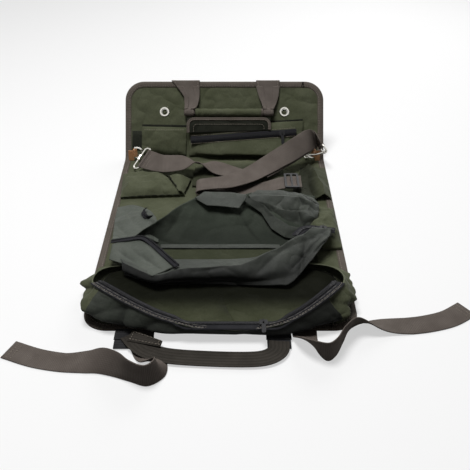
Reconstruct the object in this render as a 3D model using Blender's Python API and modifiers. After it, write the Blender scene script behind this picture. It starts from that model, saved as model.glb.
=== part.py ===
"""Canvas tool roll, laid open with its top flap curled up.

Four sections of bound double canvas fold one over the next. They carry bellows pockets with zips,
a carrying handle at each end, a clip-on shoulder strap and two tie straps.
Metres, Z up. The origin is the centre of the underside of the middle section, +X runs across the
roll and +Y from the bottom edge to the flap.
"""
import math

import bmesh
import bpy
import numpy as np
from mathutils import Matrix, Vector

# The roll and its folds
ROLL_WIDTH = 0.360
SECTION_LENGTH = 0.155
FLAP_LENGTH = 0.140
FLAP_CURL = math.radians(56.0)
CLOTH = 0.003
CORNER_RADIUS = 0.034
FIT = 0.0003

# Binding tape folded over the edges, and the thinner cloth edge inside it
BINDING_WIDTH = 0.011
BINDING_HEIGHT = 0.0036
BINDING_BACK = 0.0018
TONGUE = 0.0012
FOLD_RELIEF = 0.0009

# Eyelets
EYELET_BORE = 0.005
EYELET_BARREL = 0.0058
EYELET_FLANGE = 0.009
EYELET_RIM = 0.0009
EYELET_SPACING = 0.218
EYELET_FROM_BEND = 0.085

# Webbing
WEBBING = 0.0016
STRAP_WIDTH = 0.038
HANDLE_WIDTH = 0.038
TIE_WIDTH = 0.032

# Pocket cloth and zips
WALL = 0.002
TAPE_WIDTH = 0.014
TAPE = 0.0008
CHAIN_WIDTH = 0.005
CHAIN = 0.0016
SLIDER_LENGTH = 0.010
SLIDER_WIDTH = 0.009
SLIDER_PLATE = 0.0012
PULL_LENGTH = 0.021
PULL_WIDTH = 0.0055
PULL = 0.0012
PIN = 0.0006

# Top handle
HANDLE_LEFT = -0.063
HANDLE_RIGHT = 0.079
GRIP_HEIGHT = 0.0815
GRIP_OFF = 0.0115
GRIP_RADIUS = 0.0078
GRIP_CORE = 0.0050
LEG_KNOB = 0.0068
GRIP_FLAP_LOW = 0.0445
GRIP_FLAP = 0.0026
LEG_END_WIDTH = 0.018

# Bottom handle and ties
BOTTOM_HANDLE_WIDTH = 0.0285
BOTTOM_STUB_LENGTH = 0.0237
BOTTOM_LEG_LENGTH = 0.0130
BOTTOM_LEG_LEFT = -0.106
BOTTOM_LEG_RIGHT = 0.074
BOTTOM_LEG_WIDTH = 0.030
TIE_LEFT = -0.070
TIE_RIGHT = 0.1125

# Shoulder strap hardware
RING_WIRE = 0.0019
RING_BAR = 0.160
RING_FROM_BEND = 0.0085
TAB_THICKNESS = 0.0016
HOOK_WIRE = 0.0013
HOOK_AT = {"left": -70, "right": -35}
LOOP_WIRE = 0.0015
LOOP_LENGTH = 0.0445
LOOP_DEPTH = 0.012
ADJUSTER_HEIGHT = 0.046
ADJUSTER_WIDTH = 0.024
ADJUSTER = 0.0028

# Where the folds and the outer edges lie
LOWER_FOLD = -SECTION_LENGTH / 2
MIDDLE_FOLD = SECTION_LENGTH / 2
UPPER_FOLD = 3 * SECTION_LENGTH / 2
BOTTOM_EDGE = -3 * SECTION_LENGTH / 2
HALF_WIDTH = ROLL_WIDTH / 2
ALONG_X = Vector((1.0, 0.0, 0.0))


def remove_all():
    for old in list(bpy.data.objects):
        bpy.data.objects.remove(old)


remove_all()
parts = bpy.data.collections.new("tool_roll")
cutters = bpy.data.collections.new("cutters")
bpy.context.scene.collection.children.link(parts)
bpy.context.scene.collection.children.link(cutters)


def material(name, colour, roughness, metallic=0.0):
    made = bpy.data.materials.new(name)
    made.use_nodes = True
    shader = made.node_tree.nodes["Principled BSDF"]
    shader.inputs["Base Color"].default_value = (*colour, 1.0)
    shader.inputs["Roughness"].default_value = roughness
    shader.inputs["Metallic"].default_value = metallic
    return made


CANVAS = material("canvas", (0.085, 0.095, 0.060), 0.85)
LINING = material("lining", (0.130, 0.150, 0.125), 0.60)
WEAVE = material("webbing", (0.160, 0.135, 0.115), 0.85)
BLACK_WEAVE = material("black_webbing", (0.020, 0.020, 0.022), 0.80)
TAPE_BLACK = material("zip_tape", (0.018, 0.018, 0.022), 0.70)
BLACK_METAL = material("black_metal", (0.020, 0.020, 0.024), 0.35, 0.6)
NICKEL = material("nickel", (0.75, 0.74, 0.70), 0.22, 1.0)
LEATHER = material("leather", (0.45, 0.24, 0.12), 0.60)
BLACK_PLASTIC = material("black_plastic", (0.018, 0.018, 0.018), 0.40)


# Frames: the empties that stand on the joint axes


def frame(name, parent, matrix):
    empty = bpy.data.objects.new(name, None)
    parts.objects.link(empty)
    empty.empty_display_size = 0.02
    empty.parent = parent
    empty.matrix_world = matrix
    bpy.context.view_layer.update()
    return empty


def at(x, y, z):
    return Matrix.Translation((x, y, z))


def moved(station, along):
    """A station whose place is measured from a fold or an edge, brought to the origin."""
    return (station[0], along + station[1], *station[2:])


WORLD = Matrix.Identity(4)
FLAP = at(0, UPPER_FOLD, CLOTH) @ Matrix.Rotation(FLAP_CURL, 4, "X")


def place(name, mesh, finish, pivot, space=WORLD, sharp=math.radians(35)):
    """Puts a mesh drawn in the given space on the pivot that carries it."""
    made = bpy.data.objects.new(name, mesh)
    parts.objects.link(made)
    mesh.materials.clear()
    mesh.materials.append(finish)
    mesh.shade_smooth()
    mesh.set_sharp_from_angle(angle=sharp)
    made.parent = pivot
    made.matrix_parent_inverse = pivot.matrix_world.inverted() @ space
    bpy.context.view_layer.update()
    return made


# Shapes


def mesh_from(bm, name="shape"):
    mesh = bpy.data.meshes.new(name)
    bm.to_mesh(mesh)
    bm.free()
    return mesh


def poly_curve(points, cyclic, dimensions):
    curve = bpy.data.curves.new("outline", "CURVE")
    curve.dimensions = dimensions
    spline = curve.splines.new("POLY")
    spline.points.add(len(points) - 1)
    for knot, point in zip(spline.points, points):
        knot.co = (*point, *([0.0] * (3 - len(point))), 1.0)
    spline.use_cyclic_u = cyclic
    return bpy.data.objects.new("outline", curve)


def mesh_of(drawn):
    """The mesh of a curve object, with its caps welded; the curve is removed."""
    cutters.objects.link(drawn)
    bpy.context.view_layer.update()
    evaluated = drawn.evaluated_get(bpy.context.evaluated_depsgraph_get())
    mesh = bpy.data.meshes.new_from_object(evaluated)
    bm = bmesh.new()
    bm.from_mesh(mesh)
    bmesh.ops.remove_doubles(bm, verts=bm.verts, dist=1e-6)
    bmesh.ops.recalc_face_normals(bm, faces=bm.faces)
    bm.to_mesh(mesh)
    bm.free()
    bpy.data.objects.remove(drawn)
    return mesh


def flat_shape(outlines, low, high):
    """A plate between two heights: the first outline less the others."""
    drawn = poly_curve(outlines[0], True, "2D")
    for hole in outlines[1:]:
        spline = drawn.data.splines.new("POLY")
        spline.points.add(len(hole) - 1)
        for knot, point in zip(spline.points, hole):
            knot.co = (*point, 0.0, 1.0)
        spline.use_cyclic_u = True
    drawn.data.fill_mode = "BOTH"
    drawn.data.extrude = (high - low) / 2
    mesh = mesh_of(drawn)
    mesh.transform(at(0, 0, (low + high) / 2))
    return mesh


def swept(path, profile):
    """A closed profile carried along a level path; its x points to the right of the way."""
    section = poly_curve(profile, True, "2D")
    cutters.objects.link(section)
    drawn = poly_curve(path, False, "3D")
    drawn.data.bevel_mode = "OBJECT"
    drawn.data.bevel_object = section
    drawn.data.use_fill_caps = True
    drawn.data.twist_mode = "Z_UP"
    mesh = mesh_of(drawn)
    bpy.data.objects.remove(section)
    return mesh


def wire(path, radius, cyclic=False, sides=2):
    drawn = poly_curve(path, cyclic, "3D")
    drawn.data.bevel_depth = radius
    drawn.data.bevel_resolution = sides
    drawn.data.use_fill_caps = not cyclic
    return mesh_of(drawn)


def turned(profile, steps=28):
    """A closed profile of radius and height turned about Z."""
    mesh = bpy.data.meshes.new("profile")
    count = len(profile)
    edges = [(i, (i + 1) % count) for i in range(count)]
    mesh.from_pydata([(r, 0.0, z) for r, z in profile], edges, [])
    spun = bpy.data.objects.new("profile", mesh)
    screw = spun.modifiers.new("turn", "SCREW")
    screw.angle = math.tau
    screw.steps = steps
    screw.render_steps = steps
    screw.use_merge_vertices = True
    screw.merge_threshold = 0.00001
    return mesh_of(spun)


def tube(radius, bore, length):
    """A straight tube along X, centred."""
    half = length / 2
    mesh = turned([(radius, half), (radius, -half), (bore, -half), (bore, half)], 16)
    mesh.transform(Matrix.Rotation(math.pi / 2, 4, "Y"))
    return mesh


def smooth(stations, steps):
    """Points of a Catmull-Rom curve through the stations, with the given steps between each two."""
    knots = np.array(stations, float)
    padded = np.vstack([2 * knots[0] - knots[1], knots, 2 * knots[-1] - knots[-2]])
    points = []
    for a, b, c, d in zip(padded, padded[1:], padded[2:], padded[3:]):
        for k in range(steps):
            t = k / steps
            bend = 2 * b + (c - a) * t + (2 * a - 5 * b + 4 * c - d) * t * t
            points.append((bend + (3 * b - a - 3 * c + d) * t**3) / 2)
    points.append(knots[-1])
    return np.array(points)


def strap_between(centres, across, widths, thickness=WEBBING):
    """A flat strap through centres, with a width direction and a width at each."""
    across = across / np.linalg.norm(across, axis=1)[:, None]
    along = np.gradient(centres, axis=0)
    normal = np.cross(along, across)
    normal /= np.linalg.norm(normal, axis=1)[:, None]
    side, lift = across * widths[:, None] / 2, normal * thickness / 2
    bm = bmesh.new()
    rings = []
    for c, s, n in zip(centres, side, lift):
        corners = (c + s + n, c - s + n, c - s - n, c + s - n)
        rings.append([bm.verts.new(corner) for corner in corners])
    for near, far in zip(rings, rings[1:]):
        for i in range(4):
            j = (i + 1) % 4
            bm.faces.new((near[i], near[j], far[j], far[i]))
    bm.faces.new(rings[0])
    bm.faces.new(reversed(rings[-1]))
    bmesh.ops.recalc_face_normals(bm, faces=bm.faces)
    return mesh_from(bm)


def webbing(stations, width, end_width=None, steps=3):
    """A strap through stations of centre and width direction."""
    line = smooth(stations, steps)
    widths = np.linspace(width, end_width or width, len(line))
    return strap_between(line[:, :3], line[:, 3:6], widths)


def lying_strap(stations, width, steps=3):
    """A strap on the ground through stations of place and lean; it stands up as it leans."""
    line = smooth(stations, steps)
    lean = np.radians(np.clip(line[:, 2], 0.0, 90.0))
    ground = np.column_stack([line[:, 0], line[:, 1], np.zeros(len(line))])
    along = np.gradient(ground, axis=0)
    level = np.cross(along, (0.0, 0.0, 1.0))
    level /= np.linalg.norm(level, axis=1)[:, None]
    upright = np.array((0.0, 0.0, 1.0))
    across = level * np.cos(lean)[:, None] + upright * np.sin(lean)[:, None]
    rise = width / 2 * np.sin(lean) + WEBBING / 2 + FIT
    centres = ground + upright * rise[:, None]
    return strap_between(centres, across, np.full(len(line), width))


def cloth_grid(rows, closed=False):
    """An open sheet of faces through rows of points."""
    bm = bmesh.new()
    grid = [[bm.verts.new(point) for point in row] for row in rows]
    count = len(grid[0])
    last = count if closed else count - 1
    for low, high in zip(grid, grid[1:]):
        for i in range(last):
            j = (i + 1) % count
            bm.faces.new((low[i], low[j], high[j], high[i]))
    return mesh_from(bm)


def thicken(made, thickness, offset):
    wall = made.modifiers.new("wall", "SOLIDIFY")
    wall.thickness = thickness
    wall.offset = offset
    wall.use_even_offset = True
    return made


def pillow(corners, base, height, edge, columns=10, rows=8, flatness=6):
    """A shut bellows pocket: a crowned top over a flat base between four corners."""
    near_left, near_right, far_right, far_left = [np.array(c) for c in corners]
    bm = bmesh.new()
    top, bottom = [], []
    for v in np.linspace(0, 1, rows + 1):
        left = near_left + (far_left - near_left) * v
        right = near_right + (far_right - near_right) * v
        for u in np.linspace(0, 1, columns + 1):
            x, y = left + (right - left) * u
            crown = (1 - abs(2 * u - 1) ** flatness) * (1 - abs(2 * v - 1) ** flatness)
            top.append(bm.verts.new((x, y, base + edge + (height - edge) * crown)))
            bottom.append(bm.verts.new((x, y, base)))
    width = columns + 1
    for r in range(rows):
        for c in range(columns):
            i = r * width + c
            quad = (i, i + 1, i + width + 1, i + width)
            bm.faces.new([top[k] for k in quad])
            bm.faces.new([bottom[k] for k in reversed(quad)])
    first, last = 0, rows * width
    rim = list(range(first, width)) + [r * width + columns for r in range(1, rows + 1)]
    rim += [last + c for c in range(columns - 1, -1, -1)]
    rim += [r * width for r in range(rows - 1, 0, -1)]
    for i, j in zip(rim, rim[1:] + rim[:1]):
        bm.faces.new((top[j], top[i], bottom[i], bottom[j]))
    return mesh_from(bm)


def combine(made, mesh, operation, space=None):
    """A Boolean of the part with a hidden helper in the same space."""
    helper = bpy.data.objects.new(made.name + "_" + operation.lower(), mesh)
    cutters.objects.link(helper)
    helper.hide_render = True
    helper.display_type = "WIRE"
    helper.matrix_world = made.matrix_world if space is None else space
    tool = made.modifiers.new(operation.lower(), "BOOLEAN")
    tool.operation = operation
    tool.solver = "EXACT"
    tool.object = helper
    bpy.context.view_layer.update()
    return made


def box(low, high):
    bm = bmesh.new()
    bmesh.ops.create_cube(bm, size=1.0)
    size = Vector(high) - Vector(low)
    middle = (Vector(high) + Vector(low)) / 2
    bmesh.ops.scale(bm, vec=size, verts=bm.verts)
    bmesh.ops.translate(bm, vec=middle, verts=bm.verts)
    return mesh_from(bm)


def arc(centre, radius, start, end, steps):
    turn = np.radians(np.linspace(start, end, steps + 1))
    return [(centre[0] + radius * math.cos(a), centre[1] + radius * math.sin(a)) for a in turn]


# Frames of the sections

middle = frame("middle_frame", None, at(0, 0, 0))
lower = frame("lower_frame", middle, at(0, LOWER_FOLD, CLOTH))
upper = frame("upper_frame", middle, at(0, MIDDLE_FOLD, CLOTH))
flap = frame("flap_frame", upper, FLAP)


# Bound panels


def section_outline(inset, near, far, rounded):
    """The outline of a section, drawn in by the inset on its bound sides only."""
    side = HALF_WIDTH - inset
    out = math.copysign(1.0, far - near)
    if not rounded:
        return [(-side, near), (side, near), (side, far), (-side, far)]
    end = far - out * inset
    radius = CORNER_RADIUS - inset
    quarter = arc((0, 0), radius, 0, 90, 6)
    right = [(side - radius + x, end - out * (radius - y)) for x, y in quarter]
    left = [(-x, y) for x, y in reversed(right)]
    return [(-side, near), (side, near)] + right + left


def panel(name, pivot, near, far, rounded, space=WORLD, top=CLOTH):
    body = section_outline(BINDING_WIDTH + FIT, near, far, rounded)
    edge = section_outline(BINDING_BACK + FIT, near, far, rounded)
    seat = top - CLOTH + BINDING_HEIGHT / 2
    tongue = flat_shape([edge], seat - TONGUE / 2, seat + TONGUE / 2)
    made = place(name, flat_shape([body], top - CLOTH, top), CANVAS, pivot, space)
    return combine(made, tongue, "UNION")


def binding_profile(top):
    """The folded tape in section: closed at the outer edge, open towards the cloth."""
    low = top - CLOTH
    high = low + BINDING_HEIGHT
    seat = (low + high) / 2
    slot = TONGUE / 2 + FIT
    round_edge = arc((BINDING_HEIGHT / 2, seat), BINDING_HEIGHT / 2, 270, 90, 6)
    mouth = [(BINDING_WIDTH, high), (BINDING_WIDTH, seat + slot), (BINDING_BACK, seat + slot)]
    floor = [(BINDING_BACK, seat - slot), (BINDING_WIDTH, seat - slot), (BINDING_WIDTH, low)]
    return round_edge + mouth + floor


def binding(name, pivot, path, space=WORLD, top=CLOTH):
    made = swept([(x, y, 0.0) for x, y in path], binding_profile(top))
    return place(name, made, WEAVE, pivot, space)


def side_bindings(prefix, pivot, near, far):
    left = [(-HALF_WIDTH, near), (-HALF_WIDTH, far)]
    right = [(HALF_WIDTH, far), (HALF_WIDTH, near)]
    binding(prefix + "_binding_left", pivot, left)
    binding(prefix + "_binding_right", pivot, right)


def end_path(near, far):
    """The bound edge of an end section, from one side round to the other."""
    outline = section_outline(0.0, near, far, True)
    return [outline[0]] + list(reversed(outline[2:])) + [outline[1]]


gap = FIT / 2
panel("middle_panel", middle, LOWER_FOLD + gap, MIDDLE_FOLD - gap, False)
side_bindings("middle", middle, LOWER_FOLD + FOLD_RELIEF, MIDDLE_FOLD - FOLD_RELIEF)
panel("upper_panel", upper, MIDDLE_FOLD + gap, UPPER_FOLD - gap, False)
side_bindings("upper", upper, MIDDLE_FOLD + FOLD_RELIEF, UPPER_FOLD - FOLD_RELIEF)
panel("lower_panel", lower, LOWER_FOLD - gap, BOTTOM_EDGE, True)
lower_edge = end_path(LOWER_FOLD - FOLD_RELIEF, BOTTOM_EDGE)
binding("lower_binding", lower, list(reversed(lower_edge)))
flap_panel = panel("flap_panel", flap, gap, FLAP_LENGTH, True, FLAP, 0.0)
binding("flap_binding", flap, end_path(FOLD_RELIEF, FLAP_LENGTH), FLAP, 0.0)


# Eyelets in the flap


def eyelet_profile():
    """A rolled barrel with a flange on each face of the cloth."""
    face, back = FIT, -CLOTH - FIT
    top = [(EYELET_FLANGE - EYELET_RIM, face + EYELET_RIM + FIT), (EYELET_FLANGE, face + FIT)]
    barrel = [(EYELET_FLANGE, face), (EYELET_BARREL, face), (EYELET_BARREL, back)]
    under = [(EYELET_FLANGE, back), (EYELET_FLANGE - FIT, back - EYELET_RIM)]
    bore = [(EYELET_BARREL, back - EYELET_RIM), (EYELET_BORE, back), (EYELET_BORE, face)]
    return top + barrel + under + bore + [(EYELET_BARREL, face + EYELET_RIM + FIT)]


def round_cutter(x, y, radius, low, high):
    bm = bmesh.new()
    deep = high - low
    bmesh.ops.create_cone(
        bm, cap_ends=True, segments=24, radius1=radius, radius2=radius, depth=deep
    )
    bmesh.ops.translate(bm, vec=(x, y, (low + high) / 2), verts=bm.verts)
    return mesh_from(bm)


for side_name, side in (("left", -1), ("right", 1)):
    x = side * EYELET_SPACING / 2
    hole = round_cutter(x, EYELET_FROM_BEND, EYELET_BARREL + FIT, -2 * CLOTH, CLOTH)
    combine(flap_panel, hole, "DIFFERENCE")
    ring = turned(eyelet_profile())
    ring.transform(at(x, EYELET_FROM_BEND, 0))
    place("eyelet_" + side_name, ring, NICKEL, flap, FLAP)


# Flap pockets

ZIP_POCKET_HEIGHT = 0.011
SMALL_POCKET_HEIGHT = 0.013
SIDE_BAG_HEIGHT = 0.024
POCKET_EDGE = 0.003

small_corners = [(-0.150, 0.010), (-0.070, 0.007), (-0.070, 0.056), (-0.150, 0.058)]
small = pillow(small_corners, FIT, SMALL_POCKET_HEIGHT, POCKET_EDGE)
place("small_pocket", small, CANVAS, flap, FLAP)

zip_corners = [(-0.064, 0.006), (0.140, 0.008), (0.142, 0.068), (-0.064, 0.056)]
zip_pocket = pillow(zip_corners, FIT, ZIP_POCKET_HEIGHT, POCKET_EDGE, 14, 8)
place("zip_pocket", zip_pocket, CANVAS, flap, FLAP)


# Zips


def tape_mesh(start, end):
    """Zip tape with its chain standing on it, along X; z is 0 under the tape."""
    half, tooth = TAPE_WIDTH / 2, CHAIN_WIDTH / 2
    section = [(-half, TAPE), (-half, 0.0), (half, 0.0), (half, TAPE)]
    section += [(tooth, TAPE), (tooth, TAPE + CHAIN), (-tooth, TAPE + CHAIN), (-tooth, TAPE)]
    return swept([(start, 0, 0), (end, 0, 0)], section)


SLIDER_ROOF = TAPE + CHAIN + FIT
SLIDER_TOP = SLIDER_ROOF + SLIDER_PLATE
PULL_AXIS = SLIDER_TOP + PULL / 2 + PIN
BRIDGE_BAR = PULL_AXIS + PULL / 2 + PIN + FIT
BRIDGE_REACH = 0.0026


def slider_mesh():
    """The slider's body: two skirts and a roof over the chain."""
    half, slot = SLIDER_WIDTH / 2, CHAIN_WIDTH / 2 + FIT
    section = [(-half, TAPE + FIT), (-half, SLIDER_TOP), (half, SLIDER_TOP), (half, TAPE + FIT)]
    section += [(slot, TAPE + FIT), (slot, SLIDER_ROOF), (-slot, SLIDER_ROOF)]
    section += [(-slot, TAPE + FIT)]
    return swept([(-SLIDER_LENGTH / 2, 0, 0), (SLIDER_LENGTH / 2, 0, 0)], section)


def bridge_mesh():
    """The arch that stands across the slider and passes through the pull's eye."""
    foot, reach = SLIDER_TOP - SLIDER_PLATE / 2, BRIDGE_REACH
    path = [(0, -reach, foot), (0, -reach, BRIDGE_BAR), (0, reach, BRIDGE_BAR), (0, reach, foot)]
    return wire(path, PIN, sides=1)


def pull_mesh():
    """A flat pull along -Y; its end bar turns under the bridge."""
    half, inner, tip = PULL_WIDTH / 2, PIN + FIT, -PULL_LENGTH + PULL_WIDTH / 2
    bar, far = PIN, BRIDGE_REACH + BRIDGE_BAR - PULL_AXIS
    neck = inner + 1.4 * PIN
    right = [(neck, -far - PIN), (half, -far - 2 * PIN), (half, tip)]
    tip_round = arc((0, tip), half, -30, -150, 4)
    left = [(-half, tip), (-half, -far - 2 * PIN), (-neck, -far - PIN)]
    outline = [(-neck, bar), (neck, bar)] + right + tip_round + left
    slot = [(-inner, -bar), (inner, -bar), (inner, -far), (-inner, -far)]
    return flat_shape([outline, slot], -PULL / 2, PULL / 2)


def zip_set(name, pivot, space, start, end, tilt):
    """Tape and chain, the slider at the space's origin, and its pull tipped down by the tilt."""
    place(name + "_zip", tape_mesh(start, end), TAPE_BLACK, pivot, space)
    on_slider = frame(name + "_slider_frame", pivot, space)
    body = place(name + "_slider", slider_mesh(), BLACK_METAL, on_slider, space)
    combine(body, bridge_mesh(), "UNION")
    hang = space @ at(0, 0, PULL_AXIS) @ Matrix.Rotation(tilt, 4, "X")
    on_pull = frame(name + "_pull_frame", on_slider, hang)
    place(name + "_pull", pull_mesh(), BLACK_METAL, on_pull, hang)


ZIP_SLANT = math.atan2(0.013, 0.173)
flap_slider = FLAP @ at(0.104, 0.0445, ZIP_POCKET_HEIGHT + 2 * FIT)
flap_slider = flap_slider @ Matrix.Rotation(ZIP_SLANT, 4, "Z")
zip_set("flap", flap, flap_slider, -0.150, 0.026, math.radians(2))


# Pockets of the upper section

UPPER_BASE = BINDING_HEIGHT + FIT

near, far = MIDDLE_FOLD, UPPER_FOLD
left_corners = [
    (-0.168, near + 0.0165), (-0.066, near + 0.0225), (-0.104, far - 0.0685), (-0.174, far - 0.0665)
]
left = pillow(left_corners, UPPER_BASE, 0.0125, POCKET_EDGE, 10, 8, 4)
place("left_pocket", left, CANVAS, upper)

centre_corners = [
    (-0.052, near + 0.0525), (0.104, near + 0.0525), (0.100, far - 0.0205), (-0.048, far - 0.0205)
]
centre = pillow(centre_corners, CLOTH + FIT, 0.0125, POCKET_EDGE, 10, 8, 4)
place("centre_pocket", centre, CANVAS, upper)

right_corners = [
    (0.118, near + 0.0065), (0.176, near + 0.0065), (0.176, far - 0.0425), (0.134, far - 0.0545)
]
right = pillow(right_corners, UPPER_BASE, 0.0165, POCKET_EDGE, 8, 10, 4)
place("right_pocket", right, CANVAS, upper)


# Middle pocket: a leaning back wall on the middle section and a front fold on the lower one


def sheet(name, rows, thickness, finish, pivot):
    made = place(name, cloth_grid(rows), finish, pivot)
    return thicken(made, thickness, 0.0)


def lofted_rows(stations, steps):
    """Rows of points between stations of matching points, each row smoothed across."""
    rows = [smooth(row, steps) for row in stations]
    return [[tuple(point) for point in row] for row in rows]


BACK_LIP = [
    (-0.140, 0.0295, 0.028), (-0.119, 0.0375, 0.031), (-0.080, 0.0855, 0.037),
    (-0.050, 0.1115, 0.041), (-0.005, 0.1135, 0.042), (0.035, 0.1075, 0.043),
    (0.080, 0.0935, 0.038), (0.110, 0.0755, 0.034), (0.128, 0.0675, 0.033),
]
BACK_LIP = [moved(station, LOWER_FOLD) for station in BACK_LIP]
back_foot = LOWER_FOLD + 0.0215
back_base = [(x, back_foot, CLOTH + FIT + 0.0012) for x, y, z in BACK_LIP]
back_mid = [(x, (y + back_foot) / 2, 0.004 + 0.38 * z) for x, y, z in BACK_LIP]
back_roll = [(x, y + 0.006, z - 0.002) for x, y, z in BACK_LIP]
back_tuck = [(x, y + 0.005, z - 0.010) for x, y, z in BACK_LIP]
back_rows = [back_base, back_mid, BACK_LIP, back_roll, back_tuck]
sheet("middle_pocket_back", lofted_rows(back_rows, 2), 0.0022, LINING, middle)

side_low, side_high = LOWER_FOLD + 0.0195, LOWER_FOLD + 0.1035
side_corners = [(0.134, side_low), (0.176, side_low), (0.176, side_high), (0.134, side_high - 0.006)]
side_bag = pillow(side_corners, UPPER_BASE, SIDE_BAG_HEIGHT, POCKET_EDGE, 8, 10, 4)
place("middle_pocket_side", side_bag, CANVAS, middle)
side_zip = at(0.150, LOWER_FOLD + 0.0395, UPPER_BASE + SIDE_BAG_HEIGHT - FIT)
side_zip = side_zip @ Matrix.Rotation(math.radians(-12), 4, "Z")
zip_set("middle", middle, side_zip, -0.013, 0.018, math.radians(2))

FRONT_ROWS = [(-0.0045, 0.0046), (-0.0225, 0.017), (-0.0405, 0.027), (-0.0545, 0.031), (-0.0655, 0.024)]
front_x = [-0.143, -0.090, -0.040, 0.020, 0.070, 0.100]
front_lift = [0.000, 0.001, 0.000, 0.001, 0.003, 0.004]
front = []
for y, z in FRONT_ROWS:
    front.append([(x, LOWER_FOLD + y, z + rise * (z > 0.01)) for x, rise in zip(front_x, front_lift)])
sheet("middle_pocket_front", lofted_rows(front, 2), 0.0022, CANVAS, lower)


# Main pocket: a bellows wall round an open mouth, with its belly over the bottom edge

# Each station: the foot, the belly and the rim. The right and left ones are measured from the bottom
# edge, and the back ones from the fold.
MAIN_RIGHT = [
    ((0.020, 0.0035), (0.020, -0.0175, 0.0095), (0.020, -0.0205, 0.0170)),
    ((0.088, 0.0040), (0.090, -0.0175, 0.0120), (0.088, -0.0125, 0.0260)),
    ((0.146, 0.0145), (0.160, 0.0065, 0.0200), (0.140, 0.0205, 0.0470)),
    ((0.166, 0.0545), (0.178, 0.0545, 0.0180), (0.161, 0.0605, 0.0360)),
]
MAIN_BACK = [
    ((0.156, -0.0405), (0.163, -0.0375, 0.0120), (0.154, -0.0435, 0.0200)),
    ((0.110, -0.0225), (0.110, -0.0185, 0.0080), (0.108, -0.0245, 0.0120)),
    ((0.020, -0.0215), (0.020, -0.0185, 0.0070), (0.020, -0.0235, 0.0105)),
    ((-0.090, -0.0225), (-0.090, -0.0195, 0.0070), (-0.090, -0.0245, 0.0105)),
    ((-0.156, -0.0345), (-0.163, -0.0325, 0.0100), (-0.157, -0.0375, 0.0140)),
]
MAIN_LEFT = [
    ((-0.166, 0.0545), (-0.184, 0.0525, 0.0200), (-0.168, 0.0585, 0.0360)),
    ((-0.146, 0.0135), (-0.162, 0.0045, 0.0230), (-0.147, 0.0225, 0.0470)),
    ((-0.087, 0.0040), (-0.088, -0.0155, 0.0140), (-0.086, -0.0065, 0.0320)),
    ((-0.030, 0.0035), (-0.030, -0.0175, 0.0105), (-0.028, -0.0175, 0.0200)),
]


def round_loop(points, steps):
    """A smooth closed loop through the points."""
    around = points[-2:] + points + points[:2]
    return smooth(around, steps)[2 * steps:-2 * steps + 1][:-1]


def main_wall():
    stations = [(BOTTOM_EDGE, s) for s in MAIN_RIGHT] + [(LOWER_FOLD, s) for s in MAIN_BACK]
    stations += [(BOTTOM_EDGE, s) for s in MAIN_LEFT]
    base = [(s[0][0], edge + s[0][1], UPPER_BASE + 0.7 * WALL) for edge, s in stations]
    belly = [moved(s[1], edge) for edge, s in stations]
    rim = [moved(s[2], edge) for edge, s in stations]
    low, mid, high = (round_loop(row, 3) for row in (base, belly, rim))
    under = low * 0.35 + mid * 0.65 - np.array((0, 0, 0.0015))
    upper_belly = (mid + high) / 2
    return cloth_grid([low, under, mid, upper_belly, high], closed=True)


main = place("main_pocket", main_wall(), CANVAS, lower)
thicken(main, WALL, 0.0)


# Main zip

MOUTH_ZIP = at(0.055, BOTTOM_EDGE - 0.008, 0.0185)
zip_set("main", lower, MOUTH_ZIP, -0.090, 0.012, math.radians(2))


# Top handle: anchors behind the flap, two webbing legs, a round grip and its wrapping flap

ANCHOR_TOP = -CLOTH - FIT
HANDLE_AXIS = FLAP_LENGTH + 0.002
top_swing = FLAP @ at(0, HANDLE_AXIS, -0.0012)
top_frame = frame("top_handle_frame", flap, top_swing)


def rounded_box(low, high, radius, corners=(1, 1, 1, 1), steps=3):
    """The outline of a plate with any of its corners rounded, from low left round."""
    spots = [(low[0], low[1], 180), (high[0], low[1], 270)]
    spots += [(high[0], high[1], 0), (low[0], high[1], 90)]
    outline = []
    for (x, y, start), on in zip(spots, corners):
        if not on:
            outline.append((x, y))
            continue
        inward_x = x + radius if x == low[0] else x - radius
        inward_y = y + radius if y == low[1] else y - radius
        outline += arc((inward_x, inward_y), radius, start, start + 90, steps)
    return outline


leg_line = [(0.1405, 0.0017), (0.128, 0.0024), (0.112, 0.0042), (0.099, 0.0066)]
leg_line += [(GRIP_HEIGHT + 0.0058, GRIP_OFF - 0.001)]
leg_meshes = []
for leg_x in (HANDLE_LEFT, HANDLE_RIGHT):
    stations = [(leg_x, s, n, 1, 0, 0) for s, n in leg_line]
    leg_meshes.append(webbing(stations, HANDLE_WIDTH, LEG_END_WIDTH))

core_middle = (HANDLE_LEFT + HANDLE_RIGHT) / 2
grip_seat = at(core_middle, GRIP_HEIGHT, GRIP_OFF)


def grip_rod(start, end, radius):
    return wire([(start, GRIP_HEIGHT, GRIP_OFF), (end, GRIP_HEIGHT, GRIP_OFF)], radius, sides=4)


core = grip_rod(HANDLE_LEFT, HANDLE_RIGHT, GRIP_CORE)
handle = place("top_handle", core, WEAVE, top_frame, FLAP)
for leg, leg_x in zip(leg_meshes, (HANDLE_LEFT, HANDLE_RIGHT)):
    half = LEG_END_WIDTH / 2
    combine(handle, grip_rod(leg_x - half, leg_x + half, LEG_KNOB), "UNION")
    combine(handle, leg, "UNION")

wrap_room = HANDLE_RIGHT - HANDLE_LEFT - LEG_END_WIDTH - 4 * WEBBING
wrap = tube(GRIP_RADIUS, GRIP_CORE + FIT, wrap_room)
wrap.transform(grip_seat)
place("grip_wrap", wrap, LINING, top_frame, FLAP)

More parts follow.
